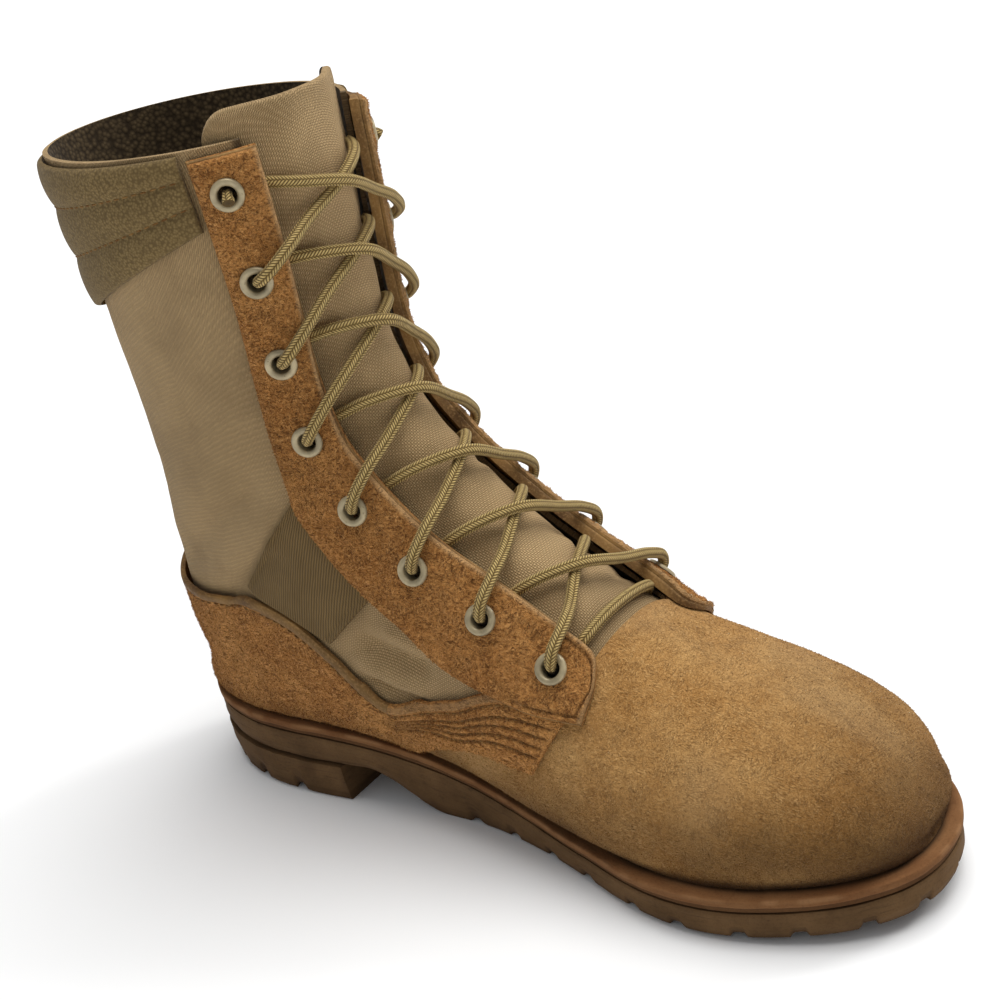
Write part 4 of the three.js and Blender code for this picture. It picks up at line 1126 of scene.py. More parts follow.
@dataclass(frozen=True)
class MouldedRubber:
    """Moulded sole rubber: a dull skin with flow marks and scuffs along the edge."""

    name: str
    base: str
    light: str
    dark: str
    roughness: float
    scratch: float

    def material(self) -> Material:
        """Builds the rubber. U runs round the sole, V up its side, in millimetres."""
        s = Shading(self.name, self.roughness, specular_ior_level=0.14)
        lines = s.noise(s.stretched(s.uv, (0.09, 1.3, 1.0)), 1.6, 4, 0.65, 1.0)
        scuffs = s.noise(s.stretched(s.uv, (0.16, 0.8, 1.0)), 3.2, 5, 0.7, 1.0)
        broad = s.noise(s.object, 18, 4, 0.6)
        grain = s.noise(s.object, 0.8, 3, 0.65)
        color = s.blend(s.remap(broad, 0.35, 0.68), self.base, self.light)
        color = s.blend(s.remap(grain, 0.48, 0.36, 0, 0.22), color, self.dark)
        color = s.blend(s.remap(lines, 0.56, 0.7, 0, self.scratch), color, self.light)
        color = s.blend(s.remap(lines, 0.44, 0.3, 0, self.scratch), color, self.dark)
        color = s.blend(s.remap(scuffs, 0.6, 0.72, 0, 0.6), color, self.dark)
        color = s.blend(s.attribute("pale"), color, linear("#b48b62"))
        # darkened where the mesh marks dirt and painted shade
        color = s.blend(s.attribute("dirt_and_shade"), color, linear("#3a2817"))
        return s.finish(color, [(lines, 0.22 * self.scratch), (scuffs, 0.16), (grain, 0.12)])


@dataclass(frozen=True)
class WornPaint:
    """Khaki enamel on pressed brass eyelets, rubbed through to the metal at the rim."""

    name: str = "eyelet_paint"

    def material(self) -> Material:
        """Builds the paint."""
        s = Shading(self.name, 0.4, metallic=0.3, coat_weight=0.1)
        chip = s.noise(s.object, 1.4, 4, 0.7)
        haze = s.noise(s.object, 5, 2)
        color = s.blend(s.remap(haze, 0.35, 0.65), "#94876a", "#b8a884")
        color = s.blend(s.remap(chip, 0.62, 0.68, 0, 0.7), color, "#6d5c3b")
        return s.finish(color, [(chip, 0.06)])


@dataclass(frozen=True)
class PlainCloth:
    """Close knitted or felted cloth, as of a lining, collar or insole."""

    name: str
    light: str
    dark: str
    loop: float = 1.1

    def material(self) -> Material:
        """Builds the cloth. The loop is the size of its stitches in millimetres."""
        s = Shading(self.name, 0.92, sheen_weight=0.06, specular_ior_level=0.15)
        cells = node(s.tree, "ShaderNodeTexVoronoi", {"Vector": s.object, "Scale": 1 / (self.loop * MM)})
        broad = s.noise(s.object, 20, 3)
        height = s.math("SUBTRACT", 1.0, cells.outputs["Distance"])
        color = s.blend(s.remap(height, 0.3, 0.9), self.dark, self.light)
        color = s.blend(s.remap(broad, 0.4, 0.7, 0, 0.35), color, self.dark)
        return s.finish(color, [(height, 0.2)])


@dataclass(frozen=True)
class Thread:
    """Bonded nylon thread, three-ply, waxed by wear."""

    name: str = "sewing_thread"
    color: str = "#684724"

    def material(self) -> Material:
        """Builds the thread."""
        s = Shading(self.name, 0.75, specular_ior_level=0.15)
        fleck = s.noise(s.object, 2.2, 2)
        color = s.blend(s.remap(fleck, 0.4, 0.65), self.color, "#87663a")
        return s.finish(color, [(s.noise(s.object, 0.4, 2), 0.1)])


class Finishes:
    """Every material of the boot, made once."""

    def __init__(self) -> None:
        """Builds the materials."""
        # the fourth colour of each suede is the painted highlight on its tufts' tips
        self.vamp = Suede("tan_suede", "#c89a5e", "#b58449", "#6b451f", "#e6b87a", 0.72, 0.3, 0.5).material()
        rough = Suede("rough_suede", "#c99051", "#b37a40", "#562f12", "#e0a765", 1.1, 0.45, 0.72)
        self.rough = rough.material()
        self.leather = PlainLeather().material()
        self.nylon = BasketWeave("nylon_weave", "#c6a678", "#6f5936").material()
        self.webbing = Ribbed().material()
        self.lace = Braid().material()
        self.rim = MouldedRubber("sole_rim", "#6f492b", "#815b39", "#452c1a", 0.9, 0.25).material()
        self.outsole = MouldedRubber("sole_rubber", "#594229", "#6e5336", "#34261a", 0.88, 0.4).material()
        self.paint = WornPaint().material()
        self.lining = PlainCloth("lining_mesh", "#6f5d42", "#3b2f20", 1.6).material()
        self.collar = PlainCloth("collar_cloth", "#89734a", "#625031", 0.9).material()
        self.insole = PlainCloth("insole_cloth", "#5d5344", "#38322a", 1.4).material()
        self.thread = Thread().material()


class Repeater:
    """A Geometry Nodes tree that sets one shape at each of many points."""

    def __init__(self) -> None:
        """Builds the tree with its named inputs."""
        self.tree = bpy.data.node_groups.new("Repeat shape", "GeometryNodeTree")
        self.tree.is_modifier = True
        sockets = (
            ("Points", "INPUT", "NodeSocketGeometry"),
            ("Shape", "INPUT", "NodeSocketObject"),
            ("Finish", "INPUT", "NodeSocketMaterial"),
            ("Size", "INPUT", "NodeSocketFloat"),
            ("Result", "OUTPUT", "NodeSocketGeometry"),
        )
        for name, way, kind in sockets:
            self.tree.interface.new_socket(name=name, in_out=way, socket_type=kind)
        t = self.tree
        given = node(t, "NodeGroupInput")
        shape = node(t, "GeometryNodeObjectInfo", {"Object": given.outputs["Shape"]})
        axis = node(t, "GeometryNodeInputNamedAttribute", {"Name": "axis"}, data_type="FLOAT_VECTOR")
        ahead = node(t, "GeometryNodeInputNamedAttribute", {"Name": "ahead"}, data_type="FLOAT_VECTOR")
        turn = node(t, "FunctionNodeAxesToRotation", primary_axis="Z", secondary_axis="X")
        t.links.new(axis.outputs["Attribute"], turn.inputs[0])
        t.links.new(ahead.outputs["Attribute"], turn.inputs[1])
        cloud = node(t, "GeometryNodeMeshToPoints", {"Mesh": given.outputs["Points"]})
        copies = node(
            t,
            "GeometryNodeInstanceOnPoints",
            {
                "Points": cloud.outputs[0],
                "Instance": shape.outputs["Geometry"],
                "Rotation": turn.outputs[0],
                "Scale": given.outputs["Size"],
            },
        )
        real = node(t, "GeometryNodeRealizeInstances", {0: copies.outputs[0]})
        finish = given.outputs["Finish"]
        dressed = node(t, "GeometryNodeSetMaterial", {0: real.outputs[0], "Material": finish})
        node(t, "NodeGroupOutput", {0: dressed.outputs[0]})

    def build(
        self,
        name: str,
        points: Array,
        axes: Array,
        ahead: Array,
        shape: Object,
        finish: Material,
    ) -> Object:
        """Sets a shape at points.

        Args:
            name: Name of the result.
            points: Points in metres.
            axes: Direction of the shape's Z at each point.
            ahead: Direction of the shape's X at each point.
            shape: The shape, which is left in place.
            finish: Material of the result.

        Returns:
            The joined mesh as an object at the origin.
        """
        mesh = bpy.data.meshes.new(name)
        mesh.from_pydata(points.tolist(), [], [])
        for key, values in (("axis", axes), ("ahead", ahead)):
            attribute = mesh.attributes.new(key, "FLOAT_VECTOR", "POINT")
            attribute.data.foreach_set("vector", values.astype(np.float32).ravel())
        made = bpy.data.objects.new(name, mesh)
        bpy.context.scene.collection.objects.link(made)
        apply_tree(made, self.tree, {"Shape": shape, "Finish": finish, "Size": 1.0})
        return made


class NapTree:
    """A Geometry Nodes tree that raises short tufts on a suede surface."""

    def __init__(self) -> None:
        """Builds the tree with its named inputs."""
        self.tree = bpy.data.node_groups.new("Raise nap", "GeometryNodeTree")
        self.tree.is_modifier = True
        sockets = (
            ("Surface", "INPUT", "NodeSocketGeometry"),
            ("Tufts per square metre", "INPUT", "NodeSocketFloat"),
            ("Tuft length", "INPUT", "NodeSocketFloat"),
            ("Tuft width", "INPUT", "NodeSocketFloat"),
            ("Lean", "INPUT", "NodeSocketVector"),
            ("Spread", "INPUT", "NodeSocketFloat"),
            ("Seed", "INPUT", "NodeSocketInt"),
            ("Finish", "INPUT", "NodeSocketMaterial"),
            ("Tufts", "OUTPUT", "NodeSocketGeometry"),
        )
        for name, way, kind in sockets:
            self.tree.interface.new_socket(name=name, in_out=way, socket_type=kind)
        t = self.tree
        given = node(t, "NodeGroupInput").outputs
        weight = node(t, "GeometryNodeInputNamedAttribute", {"Name": "nap"}, data_type="FLOAT")
        weighed = {0: given["Tufts per square metre"], 1: weight.outputs["Attribute"]}
        density = node(t, "ShaderNodeMath", weighed, operation="MULTIPLY")
        points = node(
            t,
            "GeometryNodeDistributePointsOnFaces",
            {"Mesh": given["Surface"], "Density": density.outputs[0], "Seed": given["Seed"]},
        )
        tuft = node(
            t,
            "GeometryNodeMeshCone",
            {
                "Vertices": 3,
                "Radius Top": 0.0,
                "Radius Bottom": given["Tuft width"],
                "Depth": given["Tuft length"],
            },
            fill_type="NONE",
        )
        stray = node(t, "FunctionNodeRandomValue", {"Seed": given["Seed"]}, data_type="FLOAT_VECTOR")
        stray.inputs[0].default_value = (-1, -1, -1)
        stray.inputs[1].default_value = (1, 1, 1)
        strayed = node(t, "ShaderNodeVectorMath", {0: stray.outputs[0]}, operation="SCALE")
        t.links.new(given["Spread"], strayed.inputs["Scale"])
        upright = {0: points.outputs["Normal"], 1: given["Lean"]}
        leaning = node(t, "ShaderNodeVectorMath", upright, operation="ADD")
        sum_of = {0: leaning.outputs[0], 1: strayed.outputs[0]}
        aimed = node(t, "ShaderNodeVectorMath", sum_of, operation="ADD")
        turn = node(t, "FunctionNodeAlignRotationToVector", {"Vector": aimed.outputs[0]}, axis="Z")
        size = node(t, "FunctionNodeRandomValue", {"Seed": given["Seed"]}, data_type="FLOAT")
        size.inputs[2].default_value = 0.55
        size.inputs[3].default_value = 1.35
        copies = node(
            t,
            "GeometryNodeInstanceOnPoints",
            {
                "Points": points.outputs[0],
                "Instance": tuft.outputs[0],
                "Rotation": turn.outputs[0],
                "Scale": size.outputs[1],
            },
        )
        real = node(t, "GeometryNodeRealizeInstances", {0: copies.outputs[0]})
        dressed = node(t, "GeometryNodeSetMaterial", {0: real.outputs[0], "Material": given["Finish"]})
        node(t, "NodeGroupOutput", {0: dressed.outputs[0]})

    def build(
        self,
        name: str,
        surface: Object,
        finish: Material,
        density: float,
        length: float,
        width: float,
        lean: tuple[float, float, float],
        spread_out: float,
        seed: int,
    ) -> Object:
        """Raises tufts on a surface whose points carry the value nap.

        Args:
            name: Name of the result.
            surface: Mesh whose copy carries the tufts.
            finish: Material of the tufts.
            density: Tufts for each square millimetre.
            length: Length of a tuft in millimetres.
            width: Half its width in millimetres.
            lean: Direction that the nap leans to.
            spread_out: How far tufts stray from it.
            seed: Seed of the places.

        Returns:
            The tufts as one mesh at the origin.
        """
        made = bpy.data.objects.new(name, surface.data.copy())
        bpy.context.scene.collection.objects.link(made)
        values = {
            "Tufts per square metre": density * 1e6,
            "Tuft length": length * MM,
            "Tuft width": width * MM,
            "Lean": lean,
            "Spread": spread_out,
            "Seed": seed,
            "Finish": finish,
        }
        apply_tree(made, self.tree, values)
        return made


def apply_tree(made: Object, tree: bpy.types.NodeTree, values: dict[str, object]) -> None:
    """Runs a Geometry Nodes tree on an object and keeps the plain mesh.

    Args:
        made: The object.
        tree: The tree.
        values: Value of each named input.
    """
    modifier = made.modifiers.new("Build", "NODES")
    modifier.node_group = tree
    for item in tree.interface.items_tree:
        if item.item_type == "SOCKET" and item.in_out == "INPUT" and item.name in values:
            modifier[item.identifier] = values[item.name]
    bpy.context.view_layer.update()
    evaluated = made.evaluated_get(bpy.context.evaluated_depsgraph_get())
    mesh = bpy.data.meshes.new_from_object(evaluated)
    made.modifiers.clear()
    made.data = mesh


@dataclass
class Boot:
    """What every sub-assembly of the boot shares."""

    form: Form
    place: Place
    finishes: Finishes
    repeater: Repeater
    nap: NapTree

    def keep(self, piece: Object, slot: str, *nodes: str) -> Object:
        """Ties a piece to the frame.

        Args:
            piece: The piece.
            slot: The record's material slot; not used.
            nodes: Nodes that the piece stands for.

        Returns:
            The piece.
        """
        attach(piece, "root")
        if nodes:
            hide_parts(*nodes)
        log.info("%s: %d faces", piece.name, len(piece.data.polygons))
        return piece

    def stitches(
        self, name: str, lines: Sequence[tuple[Array, Array]], length: float, gap: float, slot: str
    ) -> None:
        """Sews rows of stitches.

        Args:
            name: Name of the piece.
            lines: Each row as points and outward directions, in millimetres in the sole's frame.
            length: Length of a stitch.
            gap: Gap between stitches.
            slot: The record's material slot; passed on to keep, which does not use it.
        """
        centres, axes, heads = [], [], []
        for points, normals in lines:
            steps = np.linalg.norm(np.diff(points, axis=0), axis=1)
            travelled = np.concatenate([[0], np.cumsum(steps)])
            at = np.arange(length, travelled[-1] - length, length + gap)
            if at.size == 0:
                continue
            centres.append(columns_at(at, travelled, points))
            axes.append(columns_at(at, travelled, normals))
            heads.append(columns_at(at + 0.5, travelled, points) - columns_at(at - 0.5, travelled, points))
        shape = self.stitch_shape(length)
        centre, axis, ahead = (np.concatenate(part) for part in (centres, axes, heads))
        made = self.repeater.build(name, self.place.metres(centre), axis, ahead, shape, self.finishes.thread)
        bpy.data.objects.remove(shape)
        self.keep(made, slot)

    def stitch_shape(self, length: float) -> Object:
        """One stitch: a short thread that dips at both ends."""
        rings, sides, radius = 5, 6, 0.3
        t = np.linspace(-1, 1, rings)
        points = []
        for k in t:
            size = radius * (1 - 0.35 * k**4)
            angle = np.arange(sides) / sides * 2 * np.pi
            flat = size * np.sin(angle) * 0.8 + 0.16 - 0.42 * k**4
            points.append(np.column_stack([np.full(sides, k * length / 2), size * np.cos(angle), flat]))
        faces = []
        for j in range(rings - 1):
            for i in range(sides):
                n = (i + 1) % sides
                faces.append((j * sides + i, j * sides + n, (j + 1) * sides + n, (j + 1) * sides + i))
        return make_mesh("stitch", np.concatenate(points) * MM, np.array(faces), [self.finishes.thread])


@dataclass
class Upper:
    """The vamp, the quarters with their lining, and what is sewn on them."""

    boot: Boot
    fold: float = 4.2
    vamp_bound: tuple[tuple[float, float], ...] = (
        (7.1, 0.44),
        (8.0, 0.56),
        (8.5, 0.65),
        (8.8, 0.72),
        (9.1, 0.82),
        (9.4, 1.01),
    )

    def build(self) -> None:
        """Makes the pieces of the upper."""
        self.shell()
        self.foxing()
        for side in Side:
            self.webbing(side)
        self.backstay()
        self.collar()

    def columns(self, v: Array) -> tuple[Array, Array]:
        """u of the shell's grid columns, with lines on both edges of the throat."""
        side = 58
        middle = 25
        fixed = np.maximum(v, THROAT_FRONT)
        inner = self.boot.form.wall_edge(Side.INNER, fixed)
        outer = self.boot.form.wall_edge(Side.OUTER, fixed)
        t = np.linspace(0, 1, side)
        low = -1 + (1 - inner)[:, None] * t[None]
        high = outer[:, None] + (1 - outer)[:, None] * t[None]
        m = np.linspace(0, 1, middle)[1:-1]
        centre = -inner[:, None] + (inner + outer)[:, None] * m[None]
        columns = np.arange(side * 2 + middle - 2)
        in_throat = (columns >= side - 1) & (columns < side + middle - 2)
        return np.concatenate([low, centre, high], axis=1), in_throat[:-1]

    def shell(self) -> None:
        """The vamp and quarters as one wall, open at collar, throat and underneath."""
        b = self.boot
        front = np.concatenate([[0, 0.04, 0.12, 0.25], np.linspace(0.4, THROAT_FRONT, 78)])
        rear = np.linspace(THROAT_FRONT, LAST, 96)[1:]
        v = np.concatenate([front, rear])
        u, in_throat = self.columns(v)
        sheet = Sheet(b.form, v[:, None], u)
        mid_v = (v[1:] + v[:-1]) / 2
        mid_u = (np.abs(u[1:, 1:]) + np.abs(u[:-1, :-1])) / 2
        keep = ~((mid_v > THROAT_FRONT)[:, None] & in_throat[None])
        centres = (sheet.base[1:, 1:] + sheet.base[:-1, :-1]) / 2
        for side in Side:
            for centre, axis, _ in b.form.eyelet_frames(side):
                keep &= eyelet_distance(centres, centre, axis) > EYELET_BARREL / 2
        bound = np.interp(mid_v, *zip(*self.vamp_bound))
        is_vamp = (mid_v < THROAT_FRONT)[:, None] | (mid_u > bound[:, None])
        is_vamp &= (mid_v < self.vamp_bound[-1][0])[:, None]
        throat = np.abs(v[:, None] - THROAT_FRONT) * 28
        throat = np.where(v[:, None] <= THROAT_FRONT, throat, 9)
        drop = sheet.rounding(1.0, throat + np.where(np.abs(u) < 0.24, 0, 9))
        nap = b.form.noise.at(sheet.base, 3.1) * 0.1
        # darker towards the sole: part dirt, part painted shade low on the sides; then painted shade in the
        # crevice at the shelf
        low_part = smooth((38 - (sheet.base[..., 2] - sole_top(sheet.base[..., 0]))) / 36)
        dirt_and_shade = 0.64 * low_part * (0.75 + 0.5 * b.form.noise.at(sheet.base, 19)) + self.crevice(sheet)
        dirt_and_shade += self.toe_dirt(sheet)
        free = np.where(u < 0, *(b.form.wall_edge(side, v[:, None]) for side in (Side.INNER, Side.OUTER)))
        # painted shade along the wall's edge beside the tongue, so that it reads as a dark gap under the
        # facings
        dirt_and_shade += 0.85 * smooth((free + 0.03 - np.abs(u)) / 0.02) * (v[:, None] > THROAT_FRONT)
        beyond = np.abs(u) > np.interp(v, *zip(*self.vamp_bound))[:, None]
        cover = np.where((v[:, None] < 7.05) | beyond, 1.0, 0.0)
        cover = np.where(v[:, None] < self.vamp_bound[-1][0], cover, 0.0)
        slack = 0.6 * (b.form.noise.at(sheet.base * (0.6, 1, 0.8) + 50, 15) - 1) * (1 - cover)
        pale = 0.22 * smooth((b.form.noise.at(sheet.base + 90, 24) - 0.25) / 0.5) * (1 - low_part)
        shell = sheet.solid(
            "vamp_and_quarters",
            -WALL,
            slack - drop + nap,
            b.place,
            [b.finishes.vamp, b.finishes.nylon, b.finishes.lining],
            outer_finish=np.where(is_vamp, 0, 1).ravel(),
            inner_finish=2,
            keep=keep.ravel(),
            attributes={"dirt_and_shade": np.clip(dirt_and_shade, 0, 0.9), "nap": cover, "pale": np.clip(pale, 0, 1)},
        )
        b.keep(shell, "vamp_suede", "upper")
        outer = self.outer_copy(shell)
        tufts = b.nap.build("vamp_nap", outer, b.finishes.vamp, 1.0, 0.5, 0.11, (-0.2, 0.0, -0.5), 1.2, 5)
        bpy.data.objects.remove(outer)
        b.keep(tufts, "vamp_suede")

    @staticmethod
    def outer_copy(source: Object) -> Object:
        """A copy with the value nap kept only on outer faces."""
        made = bpy.data.objects.new("surface", source.data.copy())
        bpy.context.scene.collection.objects.link(made)
        count = len(made.data.vertices)
        values = np.zeros(count, np.float32)
        made.data.attributes["nap"].data.foreach_get("value", values)
        values[count // 2 :] = 0
        made.data.attributes["nap"].data.foreach_set("value", values)
        return made

    @staticmethod
    def crevice(sheet: Sheet) -> Array:
        """Painted shade where the upper meets the shelf."""
        height = sheet.base[..., 2] - sole_top(sheet.base[..., 0])
        return 0.55 * smooth((4.5 - height) / 4.5)

    @staticmethod
    def toe_dirt(sheet: Sheet) -> Array:
        """Smudges low on the toe, and a broad darkening over the whole toe, part dirt and part painted shade.
        """
        spots = (
            ((283.0, -20.0, 34.0), 9.0, 0.25),
            ((290.0, 12.0, 33.0), 7.0, 0.2),
            ((262.0, -38.0, 36.0), 8.0, 0.2),
            # broad darkening over the toe: part dirt, part painted shade
            ((290.0, -8.0, 40.0), 34.0, 0.36),
            ((262.0, 22.0, 40.0), 20.0, 0.18),
        )
        total = np.zeros(sheet.v.shape)
        for centre, size, amount in spots:
            gap = np.linalg.norm(sheet.base - np.array(centre), axis=-1)
            total += amount * np.exp(-((gap / size) ** 2))
        return total

    def foxing(self) -> None:
        """Heel counter and the wing that runs forward from it under the eyestay, with its folded top."""
        b = self.boot
        table = np.array(FOXING_EDGES)
        last = len(table) - 1
        s = np.linspace(0, 1, 470)
        s[1] = 0.0006
        s[2] = 0.0014
        s[-2] = 1 - 0.0006
        s[-3] = 1 - 0.0014
        w = spread(45, 0.78, (0.25, 0.6, 1.1, 1.7))
        turn = s * 2 - 1
        row = (1 - np.abs(turn) ** 1.3) * last
        sign = np.where(turn < 0, -1.0, 1.0)
        ahead = np.where(turn < 0, 0.0, -0.28) * (1 - smooth(row / 5))
        top_v = along(table[:, 0], row) + ahead
        top_u = along(table[:, 1], row)
        rear = np.where(turn < 0, b.form.rear_edge(Side.INNER, top_v), b.form.rear_edge(Side.OUTER, top_v))
        behind = np.where(row < 5, np.maximum(top_u, rear + 0.02), top_u)
        top_u = mix(rear - 0.055, behind, smooth((row - 0.8) / 2.0))
        v = mix(top_v[:, None], (along(table[:, 2], row) + ahead)[:, None], w[None])
        limit = mix(0.96, 1.0, np.clip((v - BACK_START) / 0.2, 0, 1))
        u = sign[:, None] * np.minimum(mix(top_u[:, None], along(table[:, 3], row)[:, None], w[None]), limit)
        sheet = Sheet(b.form, v, u)
        from_top = sheet.across
        from_low = sheet.across[:, -1:] - sheet.across
        seat = mix(1.2, SEAT, smooth(np.abs(turn)))[:, None]
        band = smooth(from_top / 0.8) * smooth((self.fold - from_top) / 1.2)
        groove = np.exp(-(((from_top - self.fold - 0.8) / 0.7) ** 2))
        wing = smooth((5.6 - row) / 0.8)[:, None] * smooth(row / 0.2)[:, None]
        rows_of_thread = np.zeros_like(from_top)
        for k in range(4):
            rows_of_thread += np.exp(-(((from_top - self.wing_row(k, row)[:, None]) / 0.6) ** 2))
        fray = 0.5 * b.form.noise.at(sheet.base + 40, 1.9) * smooth((4 - from_low) / 3) * wing
        rough = b.form.noise.at(sheet.base, 2.4) * 0.28 + b.form.noise.at(sheet.base + 9, 5.0) * 0.15
        rough *= 0.35 + 0.65 * smooth((from_top - self.fold - 0.4) / 1.5)
        height = seat + 1.45 + 0.6 * band - 0.5 * groove - 0.85 * rows_of_thread * wing + rough + fray
        from_end = np.minimum(sheet.down, sheet.down[-1:] - sheet.down)
        height -= sheet.rounding(0.9, from_low) + sheet.rounding(0.8, from_end)
        low_part = smooth((16 - (sheet.base[..., 2] - sole_top(sheet.base[..., 0]))) / 18)
        # darker towards the sole, part dirt and part painted shade; painted shade in the groove under the
        # fold and in the stitch rows; the fold band a little darker in its own colour
        dirt_and_shade = 0.35 * low_part + 0.35 * groove + 0.45 * rows_of_thread * wing + 0.25 * band
        nap = np.maximum(smooth((from_top - self.fold - 0.9) / 1.0), 0.5 * wing)
        nap *= 1 - 0.9 * np.clip(rows_of_thread, 0, 1) * wing
        centre_top = (from_top[1:, 1:] + from_top[:-1, :-1]) / 2
        foxing = sheet.solid(
            "foxing_and_wing",
            seat * np.ones_like(height),
            np.maximum(height, seat + 0.4),
            b.place,
            [b.finishes.rough, b.finishes.leather],
            outer_finish=np.where((centre_top < self.fold) & (row[1:, None] > 5.0), 1, 0).ravel(),
            inner_finish=0,
            attributes={"dirt_and_shade": np.clip(dirt_and_shade, 0, 0.85), "nap": nap, "pale": 0.3 * band * wing},
        )
        b.keep(foxing, "rough_suede", "foxing")
        outer = self.outer_copy(foxing)
        tufts = b.nap.build("foxing_nap", outer, b.finishes.rough, 1.55, 0.75, 0.12, (-0.2, 0, -0.6), 1.2, 8)
        bpy.data.objects.remove(outer)
        b.keep(tufts, "rough_suede")
        lines = []
        for mask in (turn < 0, turn > 0):
            part = np.flatnonzero(mask)
            lines.append(self.grid_line(sheet, part, np.full(part.size, self.fold + 0.8), height))
            for k in range(4):
                run = part[(row[part] < 4.3) & (row[part] > 0.25)]
                lines.append(self.grid_line(sheet, run, self.wing_row(k, row[run]), height))
        b.stitches("foxing_stitches", lines, 2.6, 0.8, "rough_suede")

    @staticmethod
    def wing_row(index: int, row: Array) -> Array:
        """Distance of a stitch row from the wing's top edge, closing in at the wing's rear."""
        return 6.4 + (index + 0.9) * (3.9 - 2.7 * smooth(row / 5.2))

    @staticmethod
    def grid_line(sheet: Sheet, rows: Array, distance: Array, height: Array) -> tuple[Array, Array]:
        """A line at a distance across each row of a sheet.

        Args:
            sheet: The sheet.
            rows: Rows that the line crosses.
            distance: Millimetres from the first column.
            height: Height of the sheet's outer face.

        Returns:
            Points on the outer face and outward directions.
        """
        points, normals = [], []
        face = sheet.base + sheet.normal * (height + sheet.relief)[..., None]
        for r, d in zip(rows, distance):
            across = sheet.across[r]
            points.append([np.interp(d, across, face[r, :, k]) for k in range(3)])
            normals.append([np.interp(d, across, sheet.normal[r, :, k]) for k in range(3)])
        return np.array(points), np.array(normals)

    def webbing(self, side: Side) -> None:
        """Ribbed band over the ankle, from the eyestay to the foxing."""
        b = self.boot
        (top, low) = WEBBING_EDGES
        s = spread(30, 0.9)[:, None]
        w = spread(55, 0.9)[None]
        v = mix(mix(top[0], top[2], w), mix(low[0], low[2], w), s)
        under = b.form.rear_edge(side, mix(top[0], top[2], w)) - 0.012
        u = side.sign * mix(under, mix(low[1], low[3], w), s)
        sheet = Sheet(b.form, v, u)
        edge = np.minimum(sheet.across, sheet.across[:, -1:] - sheet.across)
        height = SEAT + WEBBING - sheet.rounding(0.6, edge) - 0.35 * np.exp(-(((edge - 2.4) / 0.5) ** 2))
        made = sheet.solid(f"ankle_webbing_{side.label}", SEAT, height, b.place, [b.finishes.webbing])
        b.keep(made, "ribbed_webbing", f"webbing_{side.label}")

    @staticmethod
    def behind(turn: Array) -> Array:
        """u at a place round the back, 0 on the back seam."""
        return np.where(turn < 0, -1 - turn, 1 - turn)

    def backstay(self) -> None:
        """Suede strip over the back seam."""
        b = self.boot
        s = spread(86, 1.2)[:, None]
        w = spread(41, 1.2)[None]
        sheet = Sheet(b.form, mix(14.3, 16.05, s) + 0 * w, self.behind(mix(-0.11, 0.11, w)) + 0 * s)
        height = SEAT + BACKSTAY - sheet.rounding(0.9) + 0.25 * b.form.noise.at(sheet.base, 2.4)
        height = height - 0.4 * np.exp(-(((sheet.edge - 3) / 0.6) ** 2))
        zero = 0 * height
        made = sheet.solid(
            "back_strip",
            SEAT,
            height,
            b.place,
            [b.finishes.rough],
            attributes={"nap": zero + 1},
        )
        b.keep(made, "rough_suede", "backstay")
        lines = []
        rows = np.arange(4, sheet.v.shape[0] - 4)
        for distance in (3.0, float(sheet.across[:, -1].mean()) - 3.0):
            lines.append(self.grid_line(sheet, rows, np.full(rows.size, distance), height))
        b.stitches("back_strip_stitches", lines, 2.6, 0.8, "rough_suede")

    def collar(self) -> None:
        """Padded band round the top, quilted by two rows of thread."""
        b = self.boot
        rear = EYESTAY_EDGES["inner"][-1][3] + 0.02
        s = spread(58, 1.3)[:, None]
        w = spread(190, 1.6)[None]
        round_back = self.behind(mix(rear - 1, 1 - rear, w))
        sheet = Sheet(b.form, mix(16.1, LAST - 0.03, s) + 0 * w, round_back + 0 * s)
        share = s + 0 * w
        rows = (0.36, 0.7)
        pad = np.abs(np.sin(np.pi * np.interp(share, (0, *rows, 1), (0, 1, 2, 3)))) ** 0.6
        height = SEAT + 1.5 + 1.6 * pad - sheet.rounding(1.1) + 0.25 * b.form.noise.at(sheet.base, 12)
        made = sheet.solid("padded_collar", SEAT, height, b.place, [b.finishes.collar])
        b.keep(made, "collar_fabric", "collar")
        lines = []
        for row in rows:
            index = int(np.abs(s[:, 0] - row).argmin())
            face = sheet.base + sheet.normal * (height + sheet.relief)[..., None]
            lines.append((face[index, 3:-3], sheet.normal[index, 3:-3]))
        b.stitches("collar_stitches", lines, 2.8, 0.9, "collar_fabric")


def eyelet_distance(points: Array, centre: Array, axis: Array) -> Array:
    """Distance of points from an eyelet's axis, far for points on the other side."""
    gap = points - centre
    depth = gap @ axis
    radial = np.linalg.norm(gap - depth[..., None] * axis, axis=-1)
    return np.where(np.abs(depth) < 16, radial, 99.0).reshape(points.shape[:-1])


